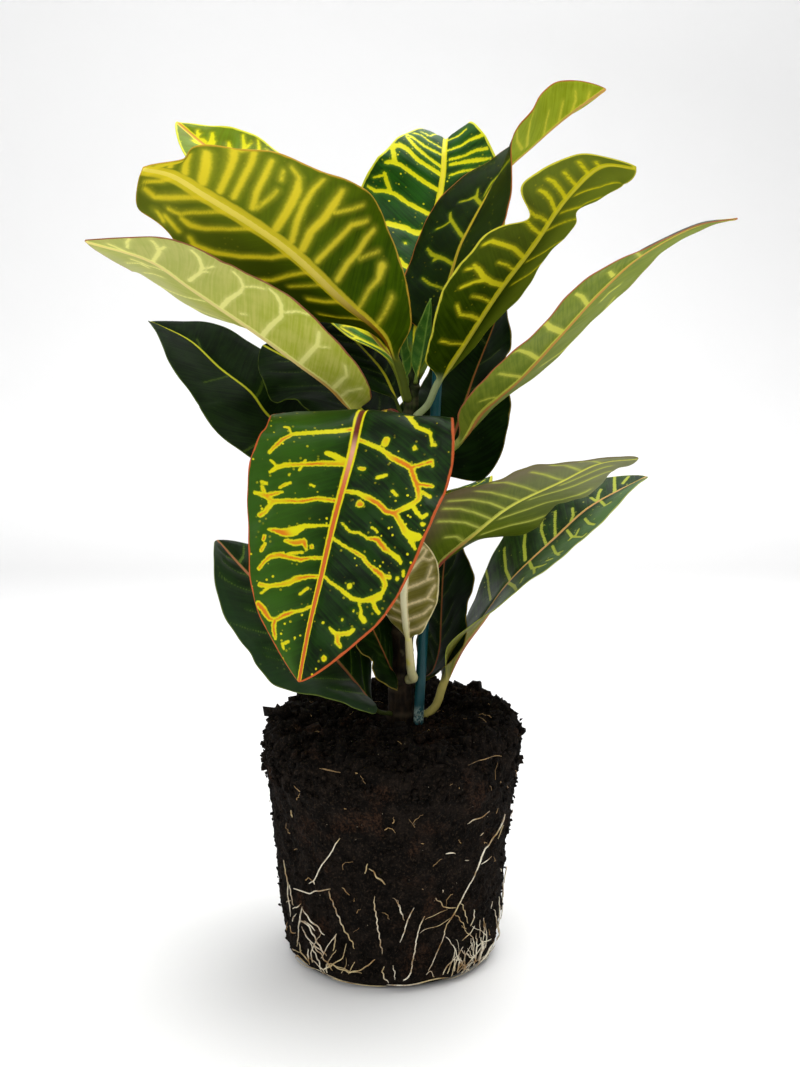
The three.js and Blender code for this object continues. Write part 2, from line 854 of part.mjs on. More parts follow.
// A leaf's petiole, midrib and blade as one closed body: an upper and a lower sheet of the same
// triangles, joined round the edge, which close to a round section at the petiole.
function leafGeometry(leaf) {
  const { curve, away } = ribCurve(leaf);
  const length = curve.getLength();
  const bladeStart = leaf.petiole / length;
  const columns = BLADE.across.length;
  const upper = [];
  const lower = [];
  const round = (frame, radius, j, below) => {
    const turn = Math.PI * (1 - (j + 0.5) / columns);
    const lift = below ? -Math.sin(turn) : Math.sin(turn);
    return frame.place
      .clone()
      .addScaledVector(frame.side, radius * Math.cos(turn))
      .addScaledVector(frame.rise, radius * lift);
  };
  for (const share of [0, 0.35, 0.7]) {
    const frame = ribFrame(leaf, curve, share * bladeStart, 0);
    if (share === 0) {
      frame.rise = UP.clone();
      frame.side = away.clone().cross(UP);
    }
    const radius = leaf.size.stalk * (share === 0 ? 1.15 : 1);
    upper.push(BLADE.across.map((_, j) => round(frame, radius, j, false)));
    lower.push(BLADE.across.map((_, j) => round(frame, radius, j, true)));
  }
  const { stations } = leaf.size;
  const frames = [];
  const sheet = [];
  for (let i = 0; i <= stations; i++) {
    const u = i / stations;
    const turn = degToRad(along(leaf.roll, u)) * smoothstep(u, -0.05, 0.1);
    const frame = ribFrame(leaf, curve, lerp(bladeStart, 1, u), turn);
    frames.push(frame);
    sheet.push(
      BLADE.across.map((v) => {
        const [across, up] = bladeOffset(leaf, u, v);
        return frame.place.clone().addScaledVector(frame.side, across).addScaledVector(frame.rise, up);
      }),
    );
  }
  for (let i = 0; i <= stations; i++) {
    const u = i / stations;
    const blend = smoothstep(u, -0.02, BLADE.shoulder);
    const radius = leaf.size.stalk * (1 - u);
    const before = sheet[Math.max(i - 1, 0)];
    const after = sheet[Math.min(i + 1, stations)];
    const top = [];
    const bottom = [];
    BLADE.across.forEach((v, j) => {
      const ahead = after[j].clone().sub(before[j]);
      const row = sheet[i];
      const across = row[Math.min(j + 1, columns - 1)].clone().sub(row[Math.max(j - 1, 0)]);
      const normal = across.cross(ahead).normalize();
      const rib = v === 0 ? BLADE.ribHeight * (1 - 0.8 * u) : 0;
      const below = row[j].clone().addScaledVector(normal, -BLADE.thickness - rib);
      top.push(round(frames[i], radius, j, false).lerp(row[j], blend));
      bottom.push(round(frames[i], radius, j, true).lerp(below, blend));
    });
    upper.push(top);
    lower.push(bottom);
  }
  return sheetPair(upper, lower);
}

// Closes two equal grids of points, upper and lower, into one body.
function sheetPair(upper, lower) {
  const rows = upper.length;
  const columns = upper[0].length;
  const points = [...upper.flat(), ...lower.flat()];
  const top = (i, j) => i * columns + j;
  const bottom = (i, j) => rows * columns + top(i, j);
  const triangles = [];
  for (let i = 0; i < rows - 1; i++) {
    for (let j = 0; j < columns - 1; j++) {
      const corners = [[i, j], [i, j + 1], [i + 1, j + 1], [i + 1, j]];
      triangles.push(...quad(...corners.map(([r, c]) => top(r, c))));
      const [a, b, c, d] = corners.map(([r, s]) => bottom(r, s));
      triangles.push([a, c, b], [a, d, c]);
    }
    triangles.push(...quad(top(i, 0), top(i + 1, 0), bottom(i + 1, 0), bottom(i, 0)));
    const edge = columns - 1;
    triangles.push(...quad(top(i + 1, edge), top(i, edge), bottom(i, edge), bottom(i + 1, edge)));
  }
  for (let j = 0; j < columns - 1; j++) {
    triangles.push(...quad(top(0, j + 1), top(0, j), bottom(0, j), bottom(0, j + 1)));
    const end = rows - 1;
    triangles.push(...quad(top(end, j), top(end, j + 1), bottom(end, j + 1), bottom(end, j)));
  }
  return geometryOf(points, triangles);
}

// ---- The plant ----------------------------------------------------------------------------------

const finish = (color, roughness) => new THREE.MeshStandardMaterial({ color, roughness, metalness: 0 });

const COLOURS = {
  leaf: "#2f5a16",
  paleLeaf: "#8f8a45",
  youngLeaf: "#5a9a2a",
  peat: "#1f1812",
  roots: "#cdb98a",
  bark: "#4a3a22",
  stake: "#17606b",
};

function mesh(name, geometry, material) {
  const made = new THREE.Mesh(geometry, material);
  made.name = name;
  return made;
}

const plant = new THREE.Group();
plant.add(mesh("root_ball", rootBall(), finish(COLOURS.peat, 0.95)));
plant.add(mesh("surface_roots", surfaceRoots(), finish(COLOURS.roots, 0.7)));
plant.add(mesh("stem", stemGeometry(), finish(COLOURS.bark, 0.75)));
plant.add(mesh("stake", stakeGeometry(), finish(COLOURS.stake, 0.45)));
for (const leaf of LEAVES) {
  let colour = leaf.size === YOUNG ? COLOURS.youngLeaf : COLOURS.leaf;
  if (leaf.name === "leaf_03") colour = COLOURS.paleLeaf;
  plant.add(mesh(leaf.name, leafGeometry(leaf), finish(colour, 0.35)));
}

export default plant;
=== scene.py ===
"""A croton lifted out of its nursery pot: moulded peat root ball, surface roots, woody stem, teal stake
and some two dozen glossy, yellow-veined leaves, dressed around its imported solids."""

import math
from functools import partial

import bpy
import numpy as np
from bpy.props import FloatProperty, FloatVectorProperty, IntProperty, PointerProperty
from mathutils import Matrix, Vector


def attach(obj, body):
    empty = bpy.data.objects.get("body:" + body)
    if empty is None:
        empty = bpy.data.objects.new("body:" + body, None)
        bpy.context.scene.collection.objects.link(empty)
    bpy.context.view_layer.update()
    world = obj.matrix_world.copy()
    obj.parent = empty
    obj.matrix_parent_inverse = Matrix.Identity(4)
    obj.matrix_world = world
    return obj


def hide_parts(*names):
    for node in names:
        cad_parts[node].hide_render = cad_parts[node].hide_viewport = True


bl_info = {
    "name": "Potted croton",
    "version": (1, 0, 0),
    "blender": (4, 5, 0),
    "location": "3D View > Sidebar > Croton",
    "description": "Builds a croton with a bare root ball, leaf by leaf",
    "category": "Add Mesh",
}

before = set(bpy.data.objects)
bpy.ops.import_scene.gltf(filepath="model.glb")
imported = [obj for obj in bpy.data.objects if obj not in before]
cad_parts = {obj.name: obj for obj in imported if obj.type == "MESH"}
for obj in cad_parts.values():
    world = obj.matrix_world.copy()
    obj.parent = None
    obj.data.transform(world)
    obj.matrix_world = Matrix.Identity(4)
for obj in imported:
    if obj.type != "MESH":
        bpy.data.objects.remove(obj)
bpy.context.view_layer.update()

MM = 0.001

# ---- The plant's own measures, in millimetres ----------------------------------------------------

STEM = dict(
    path=((0, 2, 60), (4, 0, 105), (5, 0, 140), (7, 0, 200), (9, 0, 250), (11, 0, 264)),
    radii=(4.5, 5.8, 5, 4.1, 2.9, 1.9), knuckle=0.25, gap=0.3,
)
STAKE = dict(foot=(8, -5, 24), head=(22, -1, 290))
BALL = dict(
    rim=98, crown=6, foot_radius=41, wall_foot=48.5, edge=9, wall_top=55.5, collar=84,
    collar_radius=57, back_rise=12, back_turn=75, relief=1.3, crumbs=3.6,
)
# Half thickness of the petiole of each size of leaf, unless a leaf gives its own as stalk.
STALKS = dict(large=1.7, small=1.2, young=0.9)

# Each leaf: seat is its height on the stem; rib holds the points that its midrib runs through after
# that; azimuth is the way it faces in plan. roll turns the blade about its rib (right side up), left
# and right fold its halves upwards, each a list from base to tip, in degrees. lean shifts width to the
# left half, ends are the fullness towards the petiole and the tip, and bare is the share of the blade
# that stays a stalk. wave is the height and the phase of the edge waves, ruffle one deeper wave on the
# right edge as (place, height, span), and notches are (side, place, depth, span). look names one of
# LOOKS, and seed starts the random side veins of a leaf that isn't in DRAWN.
# What the young leaves at the tip have in common.
YOUNG = dict(
    size="young", peak=0.4, ends=(0.8, 0.95), lean=0, wave=(0.3, 0), roll=(0,), left=(30, 12),
    right=(30, 12), look="young",
)
LEAVES = dict(
    leaf_01=dict(
        size="large", seat=109, azimuth=191, petiole=12, width=70, peak=0.5,
        rib=(
            (-6, -11, 112), (-12, -15, 121), (-23, -20, 136), (-43, -24, 157), (-60, -24, 174),
            (-75, -18, 189),
        ),
        ends=(0.42, 0.68), lean=0.04, wave=(2.4, -0.58), roll=(14, 29, 38, 27), left=(19, -4, 15),
        right=(14, 14, 17), stalk=1.0, look="ripe", seed=1,
    ),
    leaf_02=dict(
        size="large", seat=107, azimuth=22, petiole=22, width=64, peak=0.46,
        rib=(
            (15, 1, 107), (20, 1, 111), (24, 2, 122), (31, 6, 136), (42, 11, 150), (54, 18, 165),
            (77, 28, 185), (94, 34, 199), (123, 44, 213),
        ),
        ends=(0.45, 0.65), lean=0.03, wave=(1.2, 0), roll=(27, 12, -6, -3), left=(16, 0, 15, 16),
        right=(25, 3, 10, 15), stalk=1.9, look="sheen",
    ),
    leaf_03=dict(
        size="small", seat=125, azimuth=280, petiole=12, width=34, peak=0.56,
        rib=(
            (10, -8, 126), (9, -12, 130), (8, -17, 142), (7, -23, 154), (6, -28, 166),
            (7, -35, 182), (9, -42, 195),
        ),
        ends=(0.7, 0.67), lean=-0.08, wave=(1.5, -0.33), roll=(40, 40, 30, 30), left=(0, -5, 5),
        right=(13, 0, 7), bare=0.22, stalk=2.0, look="pale",
    ),
    leaf_04=dict(
        size="small", seat=120, azimuth=56, petiole=6, width=50, peak=0.48,
        rib=(
            (18, 9, 124), (22, 13, 134), (23, 17, 148), (24, 23, 166), (26, 30, 184),
            (26, 35, 195),
        ),
        ends=(0.42, 0.7), lean=-0.06, wave=(1.5, 0.57), roll=(34, 29, 26, 30), left=(1, 0, 7),
        right=(7, 2, 14), look="red", seed=4,
    ),
    leaf_05=dict(
        size="small", seat=124, azimuth=219, petiole=5, width=48, peak=0.49,
        rib=((-2, -13, 136), (-7, -16, 148), (-12, -19, 160), (-18, -21, 170)),
        ends=(0.45, 0.64), lean=0.03, wave=(2, -0.1), roll=(40, 40, 40, 34), left=(3, -8, -8),
        right=(18, 14, 12), look="red", seed=5,
    ),
    leaf_06=dict(
        size="large", seat=126, azimuth=134, petiole=14, width=50, peak=0.45,
        rib=((-10, 20, 132), (-26, 40, 140), (-42, 62, 142), (-54, 80, 136)),
        ends=(0.7, 0.7), lean=0, wave=(2, 0.2), roll=(-5, 0, 8), left=(16, 14, 8),
        right=(16, 12, 8), look="dark", seed=6,
    ),
    leaf_07=dict(
        size="large", seat=146, azimuth=112, petiole=15, width=56, peak=0.45,
        rib=((-3, 24, 154), (-14, 48, 163), (-24, 72, 165), (-32, 94, 157)),
        ends=(0.7, 0.68), lean=0, wave=(2.2, 0.6), roll=(5, 2, -6), left=(14, 12, 6),
        right=(16, 12, 8), look="dark", seed=7,
    ),
    leaf_08=dict(
        size="large", seat=160, azimuth=333, petiole=15, width=68, peak=0.41,
        rib=(
            (17, -9, 173), (24, -13, 182), (34, -19, 191), (50, -28, 205), (70, -38, 216),
            (85, -46, 224), (99, -52, 226),
        ),
        ends=(0.7, 0.69), lean=0.03, wave=(1.8, -0.28), roll=(6, 17, 11, 10), left=(14, 0, -6),
        right=(12, 5, -4), look="grey",
    ),
    leaf_09=dict(
        size="large", seat=181, azimuth=75, petiole=15, width=58, peak=0.42,
        rib=((12, 22, 193), (19, 47, 203), (27, 74, 202), (31, 98, 191)),
        ends=(0.7, 0.66), lean=0, wave=(2.4, 0.1), roll=(0, 4, 8), left=(14, 12, 8),
        right=(14, 10, 6), look="bright", seed=9,
    ),
    leaf_10=dict(
        size="large", seat=202, azimuth=46, petiole=18, width=59, peak=0.33,
        rib=((26, 20, 227), (35, 32, 250), (39, 37, 261), (48, 45, 283), (55, 52, 302)),
        ends=(0.45, 0.7), lean=0.05, wave=(2.6, 0.26), roll=(-46, -5, 7, 16), left=(12, 12, 12),
        right=(-10, 13, 18), look="red",
    ),
    leaf_11=dict(
        size="large", seat=207, azimuth=156, petiole=20, width=65, peak=0.38,
        rib=(
            (-28, 16, 223), (-57, 28, 242), (-66, 34, 253), (-82, 42, 265), (-97, 50, 278),
            (-118, 60, 288),
        ),
        ends=(0.69, 0.64), lean=0.03, wave=(1.2, 0.29), roll=(25, 26, 24, 8), left=(2, 8, 15),
        right=(10, 6, 14), look="dark",
    ),
    leaf_12=dict(
        size="large", seat=220, azimuth=327, petiole=24, width=58, peak=0.46,
        rib=(
            (26, -14, 228), (32, -18, 235), (38, -22, 244), (54, -32, 259), (69, -42, 276),
            (83, -52, 292), (96, -62, 304), (116, -74, 314), (128, -80, 315),
        ),
        ends=(0.87, 0.79), lean=0.07, wave=(1, 0.91), roll=(6, -6, -7, -9), left=(13, 1, -4),
        right=(13, 3, -8), look="ash",
    ),
    leaf_13=dict(
        size="small", seat=224, azimuth=147, petiole=16, width=56, peak=0.45,
        rib=((-6, 14, 238), (-22, 26, 252), (-38, 36, 263), (-62, 50, 276)),
        ends=(0.5, 0.78), lean=0.08, wave=(2, 0), roll=(10, 12, 28, 31), left=(7, 0, 5),
        right=(8, 3, 9), look="dark", seed=13,
    ),
    leaf_14=dict(
        size="large", seat=230, azimuth=243, petiole=30, width=76, peak=0.42,
        rib=(
            (2, -24, 243), (-7, -40, 243), (-11, -56, 244), (-15, -69, 226), (-21, -78, 203),
            (-26, -84, 181), (-30, -87, 164), (-34, -88, 143),
        ),
        ends=(0.35, 0.78), lean=0.06, wave=(3.2, 0.42), roll=(-9, 17, 19, 2),
        left=(-9, -3, 3, 14, 9, 0, 1), right=(-8, -12, 23, 18, 21, 13, 12), look="front",
    ),
    leaf_15=dict(
        size="large", seat=234, azimuth=212, petiole=25, width=70, peak=0.44,
        rib=(
            (-15, -17, 245), (-25, -26, 255), (-37, -35, 264), (-52, -45, 275), (-77, -60, 292),
            (-90, -70, 301), (-112, -80, 307),
        ),
        ends=(0.5, 0.78), lean=-0.02, wave=(0.8, 0.84), roll=(9, 2, -5, -9), left=(8, 14, 11, 1),
        right=(11, 14, 8, -1), look="silver",
    ),
    leaf_16=dict(
        size="small", seat=238, azimuth=144, petiole=14, width=42, peak=0.46,
        rib=((3, 9, 247), (-3, 16, 261), (-12, 22, 272), (-37, 37, 296)),
        ends=(0.5, 0.67), lean=0.04, wave=(0.8, -0.25), roll=(2, 4, 6, 5), left=(-12, -14, -6),
        right=(8, 6, 5), stalk=0.8, look="dark", seed=16,
    ),
    leaf_17=dict(
        size="large", seat=194, azimuth=90, petiole=16, width=60, peak=0.44,
        rib=((7, 24, 205), (9, 50, 215), (9, 80, 215), (7, 108, 206)),
        ends=(0.7, 0.66), lean=0, wave=(2.2, 0.35), roll=(4, 0, -8), left=(14, 14, 8),
        right=(12, 12, 10), look="bright", seed=17,
    ),
    leaf_18=dict(
        size="large", seat=242, azimuth=320, petiole=22, width=68, peak=0.48,
        rib=(
            (16, -8, 247), (20, -14, 256), (29, -24, 270), (44, -38, 293), (57, -48, 310),
            (68, -56, 326), (80, -64, 337), (92, -72, 335),
        ),
        ends=(0.57, 0.65), lean=0.1, wave=(1.3, -0.25), ruffle=(0.64, -7, 0.06),
        roll=(-8, -6, -3, 11), left=(11, 12, 14, -13), right=(9, 10, 12, -6),
        notches=((1, 0.66, 0.34, 0.035), (-1, 0.7, 0.3, 0.03)), stalk=1.5, look="olive",
    ),
    leaf_19=dict(
        size="large", seat=248, azimuth=149, petiole=18, width=64, peak=0.45,
        rib=(
            (2, 12, 264), (-10, 22, 281), (-38, 42, 324), (-68, 56, 357), (-91, 66, 373),
            (-106, 74, 386),
        ),
        ends=(0.7, 0.81), lean=0, wave=(3.4, 0.25), roll=(13, 16, 21, 28), left=(11, 9, 7),
        right=(13, 13, 19), look="lemon", seed=19,
    ),
    leaf_20=dict(
        size="large", seat=250, azimuth=212, petiole=18, width=76, peak=0.49,
        rib=(
            (3, -11, 265), (-3, -16, 276), (-19, -27, 289), (-43, -46, 310), (-71, -61, 327),
            (-83, -64, 334), (-92, -71, 335),
        ),
        ends=(0.84, 0.58), lean=0, wave=(1.2, 0.96), roll=(2, -36, -31, -15), left=(6, 34, 5, -9),
        right=(21, 19, 4, -17), notches=((1, 0.95, -0.5, 0.06),), stalk=1.75, look="gold",
    ),
    leaf_21=dict(
        size="large", seat=253, azimuth=77, petiole=18, width=76, peak=0.5,
        rib=(
            (11, 14, 275), (15, 32, 300), (19, 53, 330), (23, 62, 347), (25, 67, 359),
            (26, 74, 372), (27, 84, 380), (27, 97, 379),
        ),
        ends=(0.7, 0.85), lean=0.05, wave=(2.4, 0.08), roll=(-5, -6, -6, 2),
        left=(13, 15, 19, 31), right=(12, 12, 12, 29), look="bright",
    ),
    leaf_22=dict(
        size="large", seat=260, azimuth=19, petiole=15, width=66, peak=0.5,
        rib=(
            (21, 8, 281), (25, 13, 298), (31, 18, 318), (36, 21, 328), (42, 24, 339),
            (50, 27, 352), (64, 30, 365), (78, 32, 377), (98, 34, 391),
        ),
        ends=(0.5, 0.8), lean=0, wave=(1.4, 0.75), roll=(-34, -22, 5, 50), left=(11, 2, 15, 40),
        right=(8, 13, 20, 40), look="twist",
    ),
    young_leaf_01=dict(
        YOUNG, seat=257, azimuth=305, petiole=3, width=9, seed=23,
        rib=((13, -10, 268), (15, -13, 280), (17, -15, 292)),
    ),
    young_leaf_02=dict(
        YOUNG, seat=261, azimuth=0, petiole=4, width=6, seed=24,
        rib=((14.9, -2.2, 263.5), (16.2, -3, 270), (16.7, -4, 279), (16.9, -4.5, 287)),
    ),
    young_leaf_03=dict(
        YOUNG, seat=256, azimuth=215, petiole=3, width=8, seed=25,
        rib=((6, -3, 264), (5, -4, 273), (6, -5, 282)),
    ),
)

# Side veins by rule: how many on each side, their rise to the tip, half width in mm, how far out
# they reach, and the share of them that fork; first as usual, then what a look has otherwise.
USUAL_VEINS = dict(count=13, slope=0.55, width=0.6, reach=(0.55, 0.95), forks=0.35)
GROWN = dict(
    ripe=dict(count=9, width=0.5, forks=0.3),
    red=dict(count=7, width=0.42, reach=(0.3, 0.7), forks=0.15),
    dark=dict(count=7, width=0.42, reach=(0.3, 0.7), forks=0.15),
    bright=dict(width=1.1, forks=0.5),
    lemon=dict(count=17, width=2.3, forks=0.7),
    young=dict(count=5, width=0.12, forks=0),
)
